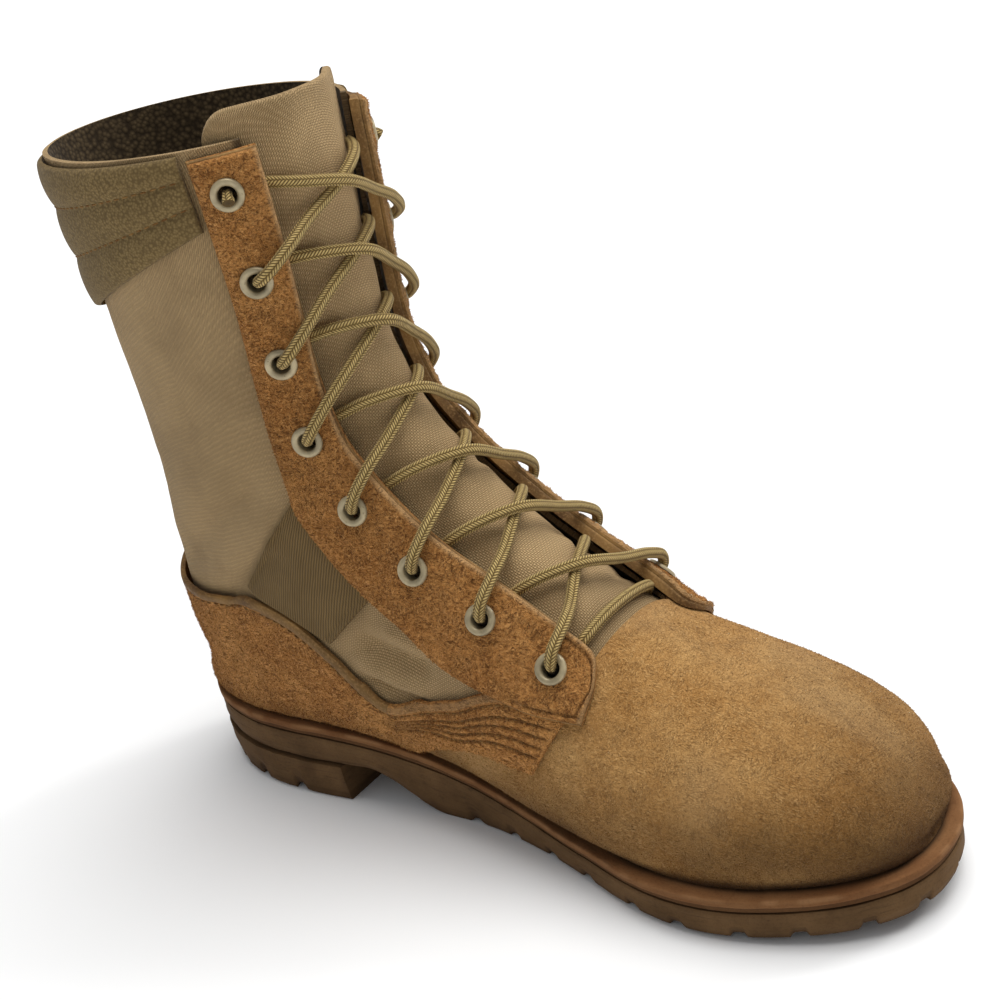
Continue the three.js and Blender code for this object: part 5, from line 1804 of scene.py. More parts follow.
@dataclass
class Facings:
    """The eyestays beside the tongue, each a suede layer on a webbing layer, and their eyelets."""

    boot: Boot
    corner: float = 9.0
    taper: float = 22.0
    flat: float = 0.72
    backing: float = 2.2
    fine: float = 0.66
    coarse: float = 1.05

    def build(self) -> None:
        """Makes both facings with their eyelets."""
        for side in Side:
            self.layer(side, f"eyestay_backing_{side.label}", 0.0, SEAT, SEAT + self.backing, False)
            bottom = SEAT + self.backing + 0.05
            self.layer(side, f"eyestay_suede_{side.label}", 0.45, bottom, SEAT + EYESTAY, True)
            self.eyelets(side)

    def grid(self, side: Side, inset: float, pitch: float) -> tuple[Array, Array]:
        """Grid of the facing with its front corner rounded.

        Args:
            side: Side of the boot.
            inset: How far the layer's edges lie inside the facing's.
            pitch: Step of the grid in millimetres.

        Returns:
            v and u of the grid, and w, the share across the facing.
        """
        table = np.array(EYESTAY_EDGES[side.key])
        length, width = 235.0, 24.0
        s = mix(inset / length, 1 - inset / length, spread(length, pitch))[:, None]
        w = mix(inset / width, 1 - inset / width, spread(width, pitch))[None]
        row = s * (len(table) - 1)
        near = np.clip(self.corner - self.travelled(side, row), 0, self.corner)
        cut = (self.corner - np.sqrt(self.corner**2 - near**2)) / width
        w = mix(cut, 1.0, w)
        v = mix(along(table[:, 0], row), along(table[:, 2], row), w)
        u = side.sign * mix(along(table[:, 1], row), along(table[:, 3], row), w)
        return v, u, w

    def travelled(self, side: Side, row: Array) -> Array:
        """Millimetres along the free edge from the facing's front."""
        table = np.array(EYESTAY_EDGES[side.key])
        points = self.boot.form.surface(along(table[:, 0], row), side.sign * along(table[:, 1], row))
        steps = np.linalg.norm(np.diff(points, axis=0), axis=-1)
        return np.concatenate([[[0.0]], np.cumsum(steps, axis=0)])

    def layer(self, side: Side, name: str, inset: float, low: float, high: float, napped: bool) -> None:
        """One layer of a facing.

        Args:
            side: Side of the boot.
            name: Name of the piece.
            inset: How far its edges lie inside the facing's.
            low: Height of its inner face over the form.
            high: Height of its outer face over the form.
            napped: Whether it is the suede layer.
        """
        b = self.boot
        v, u, w = self.grid(side, inset, self.fine if napped else self.coarse)
        sheet = Sheet(b.form, v, u)
        lift = b.form.lift(w)
        centres = (sheet.base[1:, 1:] + sheet.base[:-1, :-1]) / 2
        keep = np.ones(centres.shape[:2], bool)
        for centre, axis, _ in b.form.eyelet_frames(side):
            keep &= eyelet_distance(centres, centre, axis) > EYELET_BARREL / 2 + 0.35
        near = smooth(sheet.down / self.taper)
        lift = lift * near
        low, high = (SEAT + (level - SEAT) * mix(self.flat, 1.0, near) for level in (low, high))
        top = high + lift - sheet.rounding(1.3 if napped else 0.9)
        zero = 0 * top
        if napped:
            rough = b.form.noise.at(sheet.base, 1.3) * 0.34 + b.form.noise.at(sheet.base + 7, 2.9) * 0.3
            top = top + rough * smooth(sheet.edge / 0.8)
            top = top - 1.1 * smooth((3.6 - (sheet.across[:, -1:] - sheet.across)) / 3.6)
            seam = np.exp(-(((sheet.edge - 2.3) / 0.55) ** 2)) * smooth((30 - sheet.down) / 8)
            top = top - 0.8 * seam
            # random stains, painted shade in the seam's groove and painted shade in the hollows of the rough
            # surface
            dirt_and_shade = 0.22 * smooth(b.form.noise.at(sheet.base + 3, 14)) + 0.6 * seam - 0.12 * rough
            pale = 0.5 * smooth((1.9 - np.minimum(sheet.across, sheet.down)) / 1.5) + 0 * top
            nap = smooth((sheet.edge - 0.3) / 0.5) * (1 - 0.9 * seam)
        else:
            grooves = np.abs(np.sin(sheet.down * 0.11 + b.form.noise.at(sheet.base, 12)))
            dirt_and_shade, pale, nap = 0.14 * grooves, zero, zero
        finish = b.finishes.rough
        made = sheet.solid(
            name,
            low + (lift if napped else 0),
            top,
            b.place,
            [finish, b.finishes.leather],
            outer_finish=0 if napped else 1,
            inner_finish=1,
            rim_finish=1 if side is Side.OUTER else 0,
            keep=keep.ravel(),
            attributes={"dirt_and_shade": np.clip(dirt_and_shade, 0, 0.85), "pale": pale, "nap": nap},
        )
        b.keep(made, "rough_suede", f"eyestay_{side.label}")
        if napped:
            outer = Upper.outer_copy(made)
            lean = (-0.4, 0, -0.5)
            tufts = b.nap.build(f"eyestay_nap_{side.label}", outer, finish, 2.7, 0.72, 0.12, lean, 1.2, 21)
            bpy.data.objects.remove(outer)
            b.keep(tufts, "rough_suede")

    def eyelets(self, side: Side) -> None:
        """The pressed eyelets of one side."""
        b = self.boot
        bore, barrel, flange = EYELET_BORE / 2 + 0.2, EYELET_BARREL / 2, EYELET_FLANGE / 2 - 0.35
        roll = np.linspace(0, np.pi, 11)
        middle, half = (flange + bore) / 2, (flange - bore) / 2
        rim = [(middle + half * np.cos(a), 0.12 + EYELET_CROWN * np.sin(a) ** 0.8) for a in roll]
        tube = [(bore, 0.1), (bore, -EYESTAY), (barrel, -EYESTAY), (barrel, -0.1)]
        profile = [(flange, 0.0), *rim[1:-1], *tube]
        sides = 40
        angle = np.arange(sides) / sides * 2 * np.pi
        points = np.array([[r * np.cos(a), r * np.sin(a), z + SEAT * 0.5] for r, z in profile for a in angle])
        faces = []
        count = len(profile)
        for j in range(count):
            for i in range(sides):
                n, k = (i + 1) % sides, (j + 1) % count
                faces.append((j * sides + i, k * sides + i, k * sides + n, j * sides + n))
        faces = np.array(faces)
        if signed_volume(points, faces) < 0:
            faces = faces[:, ::-1]
        shape = make_mesh("eyelet", points * MM, faces, [b.finishes.paint], sharp=60)
        frames = b.form.eyelet_frames(side)
        centres, axes, heads = (np.array(part) for part in zip(*frames))
        places = b.place.metres(centres)
        made = b.repeater.build(f"eyelets_{side.label}", places, axes, heads, shape, b.finishes.paint)
        bpy.data.objects.remove(shape)
        nodes = [f"eyelet_{side.label}_{i + 1}" for i in range(len(frames))]
        b.keep(made, "eyelet_paint", *nodes)


@dataclass
class Tongue:
    """Padded nylon tongue with a low crown."""

    boot: Boot
    front: float = 6.65
    spread_under: float = 0.1
    corner: float = 11.0
    width: float = 80.0

    def build(self) -> None:
        """Makes the tongue."""
        b = self.boot
        w = spread(92, 1.25)[None]
        near = np.clip(self.corner - self.width * np.minimum(w, 1 - w), 0, self.corner)
        cut = self.corner - np.sqrt(self.corner**2 - near**2)
        end = LAST + (TONGUE_RISE - cut) / ABOVE_COLLAR
        v = mix(self.front, end, spread(225, 1.25)[:, None])
        inner = b.form.wall_edge(Side.INNER, v) + self.spread_under
        outer = b.form.wall_edge(Side.OUTER, v) + self.spread_under
        u = mix(-inner, outer, w)
        sheet = Sheet(b.form, v, u)
        arch = smooth((0.32 - np.abs(w - 0.5)) / 0.2)
        start = smooth((v - THROAT_FRONT - 0.1) / 0.4)
        crown = -WALL - GAP * 2.2 + TONGUE_CROWN * arch * start
        dip = 1.5 * smooth((np.abs(w - 0.5) - 0.36) / 0.1)
        folds = 1.0 * b.form.noise.at(sheet.base * (1, 0.6, 1) + 77, 17)
        folds += 0.3 * b.form.noise.at(sheet.base + 31, 7) - 0.3
        for place, lean, depth in ((8.0, 1.1, 1.7), (8.75, -0.8, 1.3), (9.9, 0.9, 1.2), (7.55, 0.5, 1.3)):
            line = v - place - lean * (w - 0.5)
            folds = folds - depth * np.exp(-((line / 0.11) ** 2)) * smooth((w - 0.45) / 0.3)
        top = crown - dip + folds * start - sheet.rounding(1.2)
        # the tongue's lower end, between the facings and under the lace bar, is painted darker as shade
        made = sheet.solid(
            "padded_tongue", crown - dip - TONGUE, top, b.place, [b.finishes.nylon, b.finishes.lining],
            inner_finish=1, attributes={"dirt_and_shade": 0.25 * smooth((8.2 - v) / 1.2) + 0 * top}, level=0 * top,
        )
        b.keep(made, "nylon_weave", "tongue")


@dataclass
class Lacing:
    """One round braided lace: a bar between the lowest eyelets, then crossings up to the top ones."""

    boot: Boot
    sides: int = 20
    step: float = 0.6
    columns: int = 6
    pitch: float = 1.05
    thickness: float = 4.0

    def build(self) -> None:
        """Makes the whole lace as one piece."""
        form = self.boot.form
        frames = {side: form.eyelet_frames(side) for side in Side}
        places = {side: form.eyelet_places(side) for side in Side}
        pairs = min(len(p) for p in places.values())
        runs = [self.bar(frames, places)]
        for i in range(pairs - 1):
            runs.append(self.leg(Side.INNER, i, frames, places, 0.0))
            runs.append(self.leg(Side.OUTER, i, frames, places, LACE * 0.86))
        for side in Side:
            runs.append(self.end(side, pairs - 1, frames))
        points, faces, uvs, shades = [], [], [], []
        start = 0
        for run in runs:
            p, f, uv, shade = self.tube(run)
            points.append(p)
            faces.append(f + start)
            uvs.append(uv)
            shades.append(shade)
            start += len(p)
        made = make_mesh(
            "braided_lace", self.boot.place.metres(np.concatenate(points)), np.concatenate(faces),
            [self.boot.finishes.lace], uv=np.concatenate(uvs), attributes={"dirt_and_shade": np.concatenate(shades)},
        )
        nodes = ["lace_bar"] + [f"lace_crossing_{i + 1}" for i in range(pairs - 1)]
        self.boot.keep(made, "lace", *nodes)

    def through(
        self, frame: tuple[Array, Array, Array], depths: Sequence[float], off: Array | None = None
    ) -> Array:
        """Points at heights over an eyelet's face, on its axis or a step off it."""
        centre, axis, _ = frame
        return centre + axis * np.array(depths)[:, None] + (0 if off is None else off)

    def bar(self, frames: dict, places: dict) -> Array:
        """The straight bar under both eyestays, up through the lowest eyelets."""
        form = self.boot.form
        v = THROAT_FRONT + 0.22
        middle = []
        for t in (-1.0, -0.5, 0.0, 0.5, 1.0):
            side = Side.INNER if t < 0 else Side.OUTER
            u = t * (form.free_edge(side, v) - 0.01)
            middle.append(form.at(v, u, -0.1))
        ends = {}
        for side in Side:
            vv, uu = places[side][0]
            hidden = form.at(mix(v, vv, 0.5), mix(side.sign * form.free_edge(side, v), uu, 0.55), -WALL - 1.9)
            ends[side] = [hidden, *self.through(frames[side][0], (-7.5, -4.0, -0.5))]
        return np.array([*ends[Side.INNER][::-1], *middle, *ends[Side.OUTER]])

    def leg(self, side: Side, index: int, frames: dict, places: dict, height: float) -> Array:
        """One leg from an eyelet over the tongue and up through the opposite eyelet of the next pair.

        Args:
            side: Side that it starts on.
            index: Pair that it starts at.
            frames: Frames of the eyelets.
            places: Places of the eyelets.
            height: How much higher it lies where it crosses.

        Returns:
            Points of its centre line.
        """
        form = self.boot.form
        other = Side.OUTER if side is Side.INNER else Side.INNER
        start_v, start_u = places[side][index]
        end_v, end_u = places[other][index + 1]
        radius = LACE / 2

        def step(t: float) -> float:
            return mix(start_v, end_v, t)

        over_v = step(0.15)
        over_u = side.sign * form.free_edge(side, over_v)
        over = form.at(over_v, over_u, SEAT + LIP_LIFT + EYESTAY + radius + 0.15)
        near = form.at(step(0.26), side.sign * (form.free_edge(side, step(0.26)) * 0.62), 3.6 + height * 0.5)
        centre = form.at(step(0.5), 0.01, 2.2 + height)
        far = form.at(step(0.76), other.sign * form.free_edge(other, step(0.76)) * 0.62, 0.9 + height * 0.3)
        under_v = step(0.91)
        under = form.at(under_v, other.sign * (form.free_edge(other, under_v) + 0.01), -1.6)
        hidden_u = mix(other.sign * form.free_edge(other, under_v), end_u, 0.6)
        hidden = form.at(mix(under_v, end_v, 0.5), hidden_u, -WALL - 2)
        centre_line, axis, _ = frames[side][index]
        toward = over - centre_line
        toward -= axis * (toward @ axis)
        lean = toward / np.linalg.norm(toward) * 0.65
        out = self.through(frames[side][index], (-1.2, 1.3), lean)
        bend = centre_line + toward * 0.36 + axis * (EYELET_CROWN + radius + 1.0)
        into = self.through(frames[other][index + 1], (-7.5, -4.0, -1.0))
        return np.array([*out, bend, over, near, centre, far, under, hidden, *into])

    def end(self, side: Side, index: int, frames: dict) -> Array:
        """The lace's end, which stops at the top eyelet."""
        centre, axis, ahead = frames[side][index]
        tip = centre + axis * (EYELET_CROWN + 2.2) - ahead * 2.0
        return np.array([*self.through(frames[side][index], (-6.5, -3.0, 0.6)), tip])

    def tube(self, controls: Array) -> tuple[Array, Array, Array, Array]:
        """A braided tube along a smooth line through points.

        Args:
            controls: Points of the centre line.

        Returns:
            Points, faces, UV of the face corners and how deep each point lies in shade.
        """
        line = smooth_line(controls, self.step)
        tangent = np.gradient(line, axis=0)
        tangent /= np.linalg.norm(tangent, axis=1)[:, None]
        normal = np.zeros_like(line)
        first = np.cross(tangent[0], (0.3, 0.2, 0.9))
        normal[0] = first / np.linalg.norm(first)
        for i in range(1, len(line)):
            carried = normal[i - 1] - tangent[i] * (normal[i - 1] @ tangent[i])
            normal[i] = carried / np.linalg.norm(carried)
        binormal = np.cross(tangent, normal)
        travelled = np.arange(len(line)) * self.step
        angle = np.arange(self.sides) / self.sides * 2 * np.pi
        around = angle / (2 * np.pi) * self.columns
        strand = np.abs(np.sin(np.pi * around))[None] + 0 * travelled[:, None]
        narrow, shade = self.in_eyelet(line)
        radius = self.thickness / 2 * (0.95 + 0.06 * strand) * (1 - 0.17 * narrow)[:, None]
        turned = angle[None, :, None]
        ring = normal[:, None] * np.cos(turned) + binormal[:, None] * np.sin(turned)
        points = line[:, None] + ring * radius[..., None]
        rows, sides = len(line), self.sides
        a = (np.arange(rows - 1)[:, None] * sides + np.arange(sides)[None]).ravel()
        n = (np.arange(rows - 1)[:, None] * sides + (np.arange(sides) + 1)[None] % sides).ravel()
        faces = np.column_stack([a, n, n + sides, a + sides])
        columns = np.tile(np.arange(sides), rows - 1)
        rows_of = np.repeat(np.arange(rows - 1), sides)
        left, right = columns / sides, (columns + 1) / sides
        low, high = travelled[rows_of], travelled[rows_of + 1]
        corners = ((left, low), (right, low), (right, high), (left, high))
        uv = np.stack([np.column_stack(corner) for corner in corners], axis=1)
        shade = np.repeat(shade, sides)
        points, faces, uv, shade = self.capped(points.reshape(-1, 3), faces, uv, shade, line)
        if signed_volume(points, faces) < 0:
            faces, uv = faces[:, ::-1], uv[:, ::-1]
        return points, faces, uv, shade

    def in_eyelet(self, line: Array) -> tuple[Array, Array]:
        """How much each point of a line is squeezed by an eyelet, and how far it lies in its shade."""
        narrow, shade = np.zeros(len(line)), np.zeros(len(line))
        for side in Side:
            for centre, axis, _ in self.boot.form.eyelet_frames(side):
                depth = (line - centre) @ axis
                radial = np.linalg.norm(line - centre - depth[:, None] * axis, axis=1)
                near = (radial < EYELET_BARREL) & (depth > -12) & (depth < 5)
                narrow = np.maximum(narrow, np.where(near, smooth((2.6 - depth) / 1.8), 0))
                shade = np.maximum(shade, np.where(near, 0.85 * smooth((0.9 - depth) / 1.6), 0))
        return narrow, shade

    def capped(self, points: Array, faces: Array, uv: Array, shade: Array, line: Array) -> tuple[Array, ...]:
        """Closes both ends of a tube with a fan of faces."""
        count, sides = len(points), self.sides
        i = np.arange(sides)
        n = (i + 1) % sides
        first = np.column_stack([n, i, np.full(sides, count), np.full(sides, count)])
        last = np.column_stack([i, n, np.full(sides, 1), np.full(sides, 1)]) + count - sides
        last[:, 2:] = count + 1
        faces = np.concatenate([faces, first, last])
        uv = np.concatenate([uv, np.zeros((2 * sides, 4, 2))])
        return np.concatenate([points, line[:1], line[-1:]]), faces, uv, np.concatenate([shade, [0.5, 0.5]])


def smooth_line(controls: Array, step: float) -> Array:
    """Points at a fixed step on a centripetal curve through control points."""
    ends = (2 * controls[0] - controls[1], 2 * controls[-1] - controls[-2])
    p = np.concatenate([[ends[0]], controls, [ends[1]]])
    gaps = np.sqrt(np.maximum(np.linalg.norm(np.diff(p, axis=0), axis=1), 1e-6))
    knots = np.concatenate([[0], np.cumsum(gaps)])
    fine = []
    for i in range(1, len(p) - 2):
        t = np.linspace(knots[i], knots[i + 1], 24, endpoint=False)[:, None]
        t0, t1, t2, t3 = knots[i - 1 : i + 3]
        a1 = (t1 - t) / (t1 - t0) * p[i - 1] + (t - t0) / (t1 - t0) * p[i]
        a2 = (t2 - t) / (t2 - t1) * p[i] + (t - t1) / (t2 - t1) * p[i + 1]
        a3 = (t3 - t) / (t3 - t2) * p[i + 1] + (t - t2) / (t3 - t2) * p[i + 2]
        b1 = (t2 - t) / (t2 - t0) * a1 + (t - t0) / (t2 - t0) * a2
        b2 = (t3 - t) / (t3 - t1) * a2 + (t - t1) / (t3 - t1) * a3
        fine.append((t2 - t) / (t2 - t1) * b1 + (t - t1) / (t2 - t1) * b2)
    fine = np.concatenate([*fine, controls[-1:]])
    steps = np.linalg.norm(np.diff(fine, axis=0), axis=1)
    travelled = np.concatenate([[0], np.cumsum(steps)])
    at = np.arange(0, travelled[-1], step)
    return np.column_stack([np.interp(at, travelled, fine[:, k]) for k in range(3)])


def lofted(
    name: str,
    rings: Sequence[Array],
    place: Place,
    materials: Sequence[Material],
    finish: Sequence[int],
    attributes: dict[str, Array],
) -> Object:
    """A closed loft through rings of equal count, capped from side to side.

    Args:
        name: Name of the object.
        rings: Rings of points in millimetres.
        place: Shift to the row's frame.
        materials: Materials of the mesh.
        finish: Material index of each band between two rings.
        attributes: Named values, a row for each ring.

    Returns:
        The linked object.
    """
    points = np.stack(rings)
    rows, count = points.shape[:2]
    i = np.arange(count)
    n = (i + 1) % count
    faces, uvs, finishes = [], [], []
    loop = points[0]
    girth = np.concatenate([[0], np.cumsum(np.linalg.norm(np.roll(loop, -1, axis=0) - loop, axis=1))])
    rise = np.concatenate([[0], np.cumsum(np.linalg.norm(np.diff(points, axis=0), axis=2).mean(1))])
    for j in range(rows - 1):
        near, far = j * count, (j + 1) * count
        faces.append(np.column_stack([near + i, near + n, far + n, far + i]))
        back, ahead = girth[:-1], girth[1:]
        corners = ((back, rise[j]), (ahead, rise[j]), (ahead, rise[j + 1]), (back, rise[j + 1]))
        uvs.append(np.stack([np.column_stack([x, np.full(count, y)]) for x, y in corners], axis=1))
        finishes.append(np.full(count, finish[j]))
    half = np.arange(count // 2)
    ring = np.column_stack([half, half + 1, (count - half - 1) % count, (count - half) % count])
    for start, flip, tone in ((0, True, finish[0]), ((rows - 1) * count, False, finish[-1])):
        cap = ring + start
        cap = cap[:, ::-1] if flip else cap
        faces.append(cap)
        uvs.append(points.reshape(-1, 3)[cap][..., :2])
        finishes.append(np.full(len(cap), tone))
    flat = points.reshape(-1, 3)
    faces, uvs = np.concatenate(faces), np.concatenate(uvs)
    if signed_volume(flat, faces) < 0:
        faces, uvs = faces[:, ::-1], uvs[:, ::-1]
    values = {key: np.broadcast_to(value, (rows, count)).ravel() for key, value in attributes.items()}
    return make_mesh(name, place.metres(flat), faces, materials, np.concatenate(finishes), uvs, values, 40)


@dataclass
class SoleUnit:
    """Midsole with its overhanging lip, lugged outsole, heel block and insole."""

    boot: Boot
    per_row: int = 22
    notch_depth: float = 1.9

    def build(self) -> None:
        """Makes the sole pieces."""
        self.midsole()
        self.outsole()
        self.heel()
        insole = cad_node("insole")
        insole.data.materials.clear()
        insole.data.materials.append(self.boot.finishes.insole)

    def midsole(self) -> None:
        """The rim: a rounded lip over a recessed band painted dark as shade, with a shelf round the upper."""
        noise = self.boot.form.noise
        profile = (
            (LIP_STEP + 0.5, -MIDSOLE),
            (LIP_STEP, -MIDSOLE + 0.3),
            (LIP_STEP, -4.1),
            (LIP_STEP, -3.2),
            (LIP_STEP - 0.1, -MIDSOLE_LIP - 0.15),
            (LIP_STEP - 0.5, -MIDSOLE_LIP),
            (0.25, -MIDSOLE_LIP + 0.05),
            (0.05, -MIDSOLE_LIP + 0.3),
            (0.0, -1.7),
            (0.0, -0.8),
            (0.07, -0.4),
            (0.25, -0.12),
            (0.55, -0.02),
            (1.2, 0.0),
            (2.4, -0.05),
            (3.6, -0.12),
            (4.8, -0.15),
            (5.8, -0.1),
            (7.0, -0.1),
            (9.0, -0.2),
        )
        rings, dirt_and_shade, pale = [], [], []
        for inset, drop in profile:
            loop = outline(inset, self.per_row)
            z = sole_top(loop[:, 0]) + drop
            points = np.column_stack([loop, z])
            level = points * (1, 1, 0)
            wobble = noise.at(level + 20, 11) * 0.16 + noise.at(level + 60, 3.5) * 0.07
            on_lip = float(np.exp(-(((inset - 0.2) / 0.9) ** 2))) if drop > -MIDSOLE_LIP - 0.1 else 0.3
            points[:, 2] += wobble * on_lip * 0.8
            inward = outline(inset + 1, self.per_row) - loop
            points[:, :2] += inward * (0.12 + wobble * 1.1)[:, None] * on_lip
            rings.append(points)
            # painted shade on the shelf where it runs in under the upper, with dust on it
            inside = smooth(np.full(len(loop), (inset - 4.0) / 2.2))
            dust = 0.5 * smooth((noise.at(points + 8, 6) + 0.15) / 0.6)
            # painted shade on the recessed band under the lip
            recess = 0.55 if drop < -MIDSOLE_LIP - 0.05 else 0.0
            dirt_and_shade.append(np.clip(inside * 0.85 + dust * inside + recess + 0.1 * dust, 0, 0.95))
            rubbed = smooth((noise.at(points + 3, 5) + 0.3) / 0.8)
            pale.append(0.22 * np.clip(on_lip if drop > -1.2 else 0, 0, 1) * rubbed)
        finish = [0] * (len(profile) - 1)
        made = lofted(
            "sole_rim", rings, self.boot.place, [self.boot.finishes.rim], finish,
            {"dirt_and_shade": np.stack(dirt_and_shade), "pale": np.stack(pale)},
        )
        self.boot.keep(made, "midsole", "midsole")

    def notch_places(self) -> Array:
        """Places round the outline, as shares of its count, where the edge lugs part."""
        loop = outline(OUTSOLE_INSET, FEATHER_STEPS)
        steps = np.linalg.norm(np.roll(loop, -1, axis=0) - loop, axis=1)
        travelled, places = LUG_PITCH / 2, []
        for i, step in enumerate(steps):
            travelled += step
            if travelled >= LUG_PITCH:
                travelled -= LUG_PITCH
                places.append(loop[(i + 1) % len(loop)])
        return np.array(places)

    def notch_mask(self, edge: Array, keep: Callable[[Array], Array]) -> Array:
        """How far each edge point lies in a notch, 0 to 1."""
        mask = np.zeros(len(edge))
        for place in self.notch_places():
            if not keep(place[0]):
                continue
            gap = np.linalg.norm(edge[:, :2] - place, axis=1)
            mask = np.maximum(mask, smooth((LUG_NOTCH / 2 + 0.5 - gap) / 1.1))
        return mask

    def outsole(self) -> None:
        """Outsole: scratched side, edge lugs parted by notches, chevrons in a sunk field."""
        first = ARCH_END + LUG_NOTCH
        top = outline(OUTSOLE_INSET, self.per_row)
        low = outline(OUTSOLE_INSET + OUTSOLE_DRAFT, self.per_row)
        notch = self.notch_mask(top, lambda x: x > first)
        noise = self.boot.form.noise
        x = top[:, 0]
        top_z = sole_top(x) - MIDSOLE - GAP
        rings, dirt_and_shade, pale = [], [], []

        def add(points: Array, dirt: Array) -> None:
            rings.append(points)
            dirt_and_shade.append(np.clip(dirt, 0, 0.9))
            pale.append(0 * dirt)

        inner = outline(OUTSOLE_INSET + 3, self.per_row)
        add(np.column_stack([inner, top_z]), 0 * x + 0.6)
        edge_low = outsole_under(x) + self.notch_depth * notch
        for t in np.linspace(0, 1, 15):
            flat = mix(top, low, smooth(np.array((t - 0.55) / 0.45)))
            z = mix(top_z, edge_low, t)
            points = np.column_stack([flat, z])
            wear = noise.at(points * (1, 1, 2.5) + 70, 5) * 0.14
            wear += noise.at(points * (0.3, 0.3, 4), 2.5) * 0.08
            corner = 0.8 * np.maximum(0, (t - 0.9) / 0.1) ** 2 + 0.4 * max(0, (0.08 - t) / 0.08)
            inward = outline(OUTSOLE_INSET + 1, self.per_row) - top
            points[:, :2] += inward * (corner + 0.15 + wear)[:, None]
            dirt = 0.35 * smooth(np.array((t - 0.7) / 0.3)) + 0.2 * smooth(noise.at(points + 5, 9) / 0.6)
            dirt = dirt + 0.4 * notch * (t > 0.6)
            add(points, dirt)
        for inset in (2.2, 3.4, 5.0, 7.0, 9.0, 11.0, 12.6, 13.6, 15.5, 17.4, 18.6, 19.4, 20.6):
            loop = outline(OUTSOLE_INSET + inset, self.per_row)
            reach = notch * smooth(np.full(len(x), (LUG_REACH + 0.5 - inset) / 1.0))
            add(np.column_stack([loop, self.under(loop, np.maximum(reach, 0), inset)]), 0.25 + 0.4 * reach)
        edge = outline(OUTSOLE_INSET + 20.6, self.per_row)
        across = (edge[:, 0] + np.roll(edge[::-1, 0], 1)) / 2
        spine = np.column_stack([across, np.full(len(edge), 0.02 * BALL_WIDTH)])
        spine[:, 0] = np.clip(spine[:, 0], 24, SOLE_LENGTH - 30)
        for t in np.linspace(0, 1, 13)[1:]:
            loop = mix(edge, spine, t)
            add(np.column_stack([loop, self.under(loop, 0 * x, 21.0)]), 0 * x + 0.35)
        made = lofted(
            "lugged_outsole", rings, self.boot.place, [self.boot.finishes.outsole], [0] * (len(rings) - 1),
            {"dirt_and_shade": np.stack(dirt_and_shade), "pale": np.stack(pale)},
        )
        self.boot.keep(made, "outsole", "outsole")

    def under(self, loop: Array, reach: Array, inset: float) -> Array:
        """Height of the tread at points a distance inside the edge."""
        x, y = loop[:, 0], loop[:, 1]
        first = ARCH_END + LUG_NOTCH
        field = smooth(np.full(len(x), (inset - 18.4) / 1.0)) * smooth((x - first) / 1.2)
        bars = np.zeros(len(x))
        place = first + LUG_PITCH * 0.4
        span = 0.17 * BALL_WIDTH
        while place < 0.88 * SOLE_LENGTH:
            side = np.abs(y - 0.02 * BALL_WIDTH)
            line = x - place + side * np.tan(0.45)
            bar = smooth((CHEVRON_WIDTH / 2 + 0.6 - np.abs(line) * np.cos(0.45)) / 1.2)
            bar = bar * smooth((span - side) / 1.2)
            bars = np.maximum(bars, bar)
            place += LUG_PITCH
        sunk = np.maximum(field * (1 - bars), reach)
        return outsole_under(x) + LUG_DEPTH * sunk

    def heel(self) -> None:
        """Heel block with a square breast and edge lugs."""
        sides, front = 90, 50

        def loop_at(inset: float) -> Array:
            loop = outline(inset, self.per_row)
            half = len(loop) // 2
            line = HEEL_BREAST - inset * 0.3
            parts = []
            for run in (loop[: half + 1], np.concatenate([loop[:1], loop[:half:-1]])):
                count = int(np.argmax(run[:, 0] > line))
                steps = np.linalg.norm(np.diff(run[: count + 1], axis=0), axis=1)
                travelled = np.concatenate([[0], np.cumsum(steps)])
                at = np.interp(line, run[: count + 1, 0][-2:], travelled[-2:])
                share = np.linspace(0, at, sides)
                parts.append(columns_at(share, travelled, run[: count + 1, :2]))
            outer, inner = parts
            t = np.linspace(0, 1, front + 2)[1:-1, None]
            return np.concatenate([outer, mix(outer[-1], inner[-1], t), inner[::-1][:-1]])

        base = loop_at(OUTSOLE_INSET)
        if len(base) % 2:
            base = base[:-1]
        count = len(base)
        notch = self.notch_mask(base, lambda x: x < HEEL_BREAST - LUG_PITCH)
        noise = self.boot.form.noise
        rings, dirt_and_shade = [], []
        for t in np.linspace(0, 1, 16):
            inset = OUTSOLE_INSET + OUTSOLE_DRAFT * float(smooth(np.array((t - 0.3) / 0.7)))
            inset += 0.7 * max(0, (t - 0.93) / 0.07)
            loop = loop_at(inset)[:count]
            z = mix(HEEL_BLOCK - GAP, LUG_DEPTH * notch, t)
            points = np.column_stack([loop, z])
            points[:, :2] += noise.at(points * (1, 1, 2.5) + 70, 5)[:, None] * 0.12
            rings.append(points)
            worn = 0.3 * (t > 0.75) + 0.3 * notch * (t > 0.7)
            dirt_and_shade.append(0.3 * smooth(noise.at(points + 5, 9) / 0.5) + worn)
        centre = np.array([HEEL_BREAST * 0.52, 0.0])
        edge = loop_at(OUTSOLE_INSET + OUTSOLE_DRAFT + 0.9)[:count]
        radius = np.linalg.norm(edge - centre, axis=1)
        for depth in (1.5, 4.0, 8.0, 12.4, 13.6, 17.5, 18.6, 19.6):
            t = np.minimum(depth / radius, 0.96)
            loop = mix(edge, centre[None], t[:, None])
            reach = notch * float(smooth(np.array((LUG_REACH + 0.5 - depth) / 1.0)))
            sunk = np.maximum(reach, float(smooth(np.array((depth - 18.3) / 1.0))))
            rings.append(np.column_stack([loop, LUG_DEPTH * sunk]))
            dirt_and_shade.append(0.3 + 0.3 * sunk)
        for share in (0.3, 0.6, 0.85, 0.98):
            rings.append(np.column_stack([mix(loop, centre, share), np.full(count, LUG_DEPTH)]))
            dirt_and_shade.append(np.full(count, 0.6))
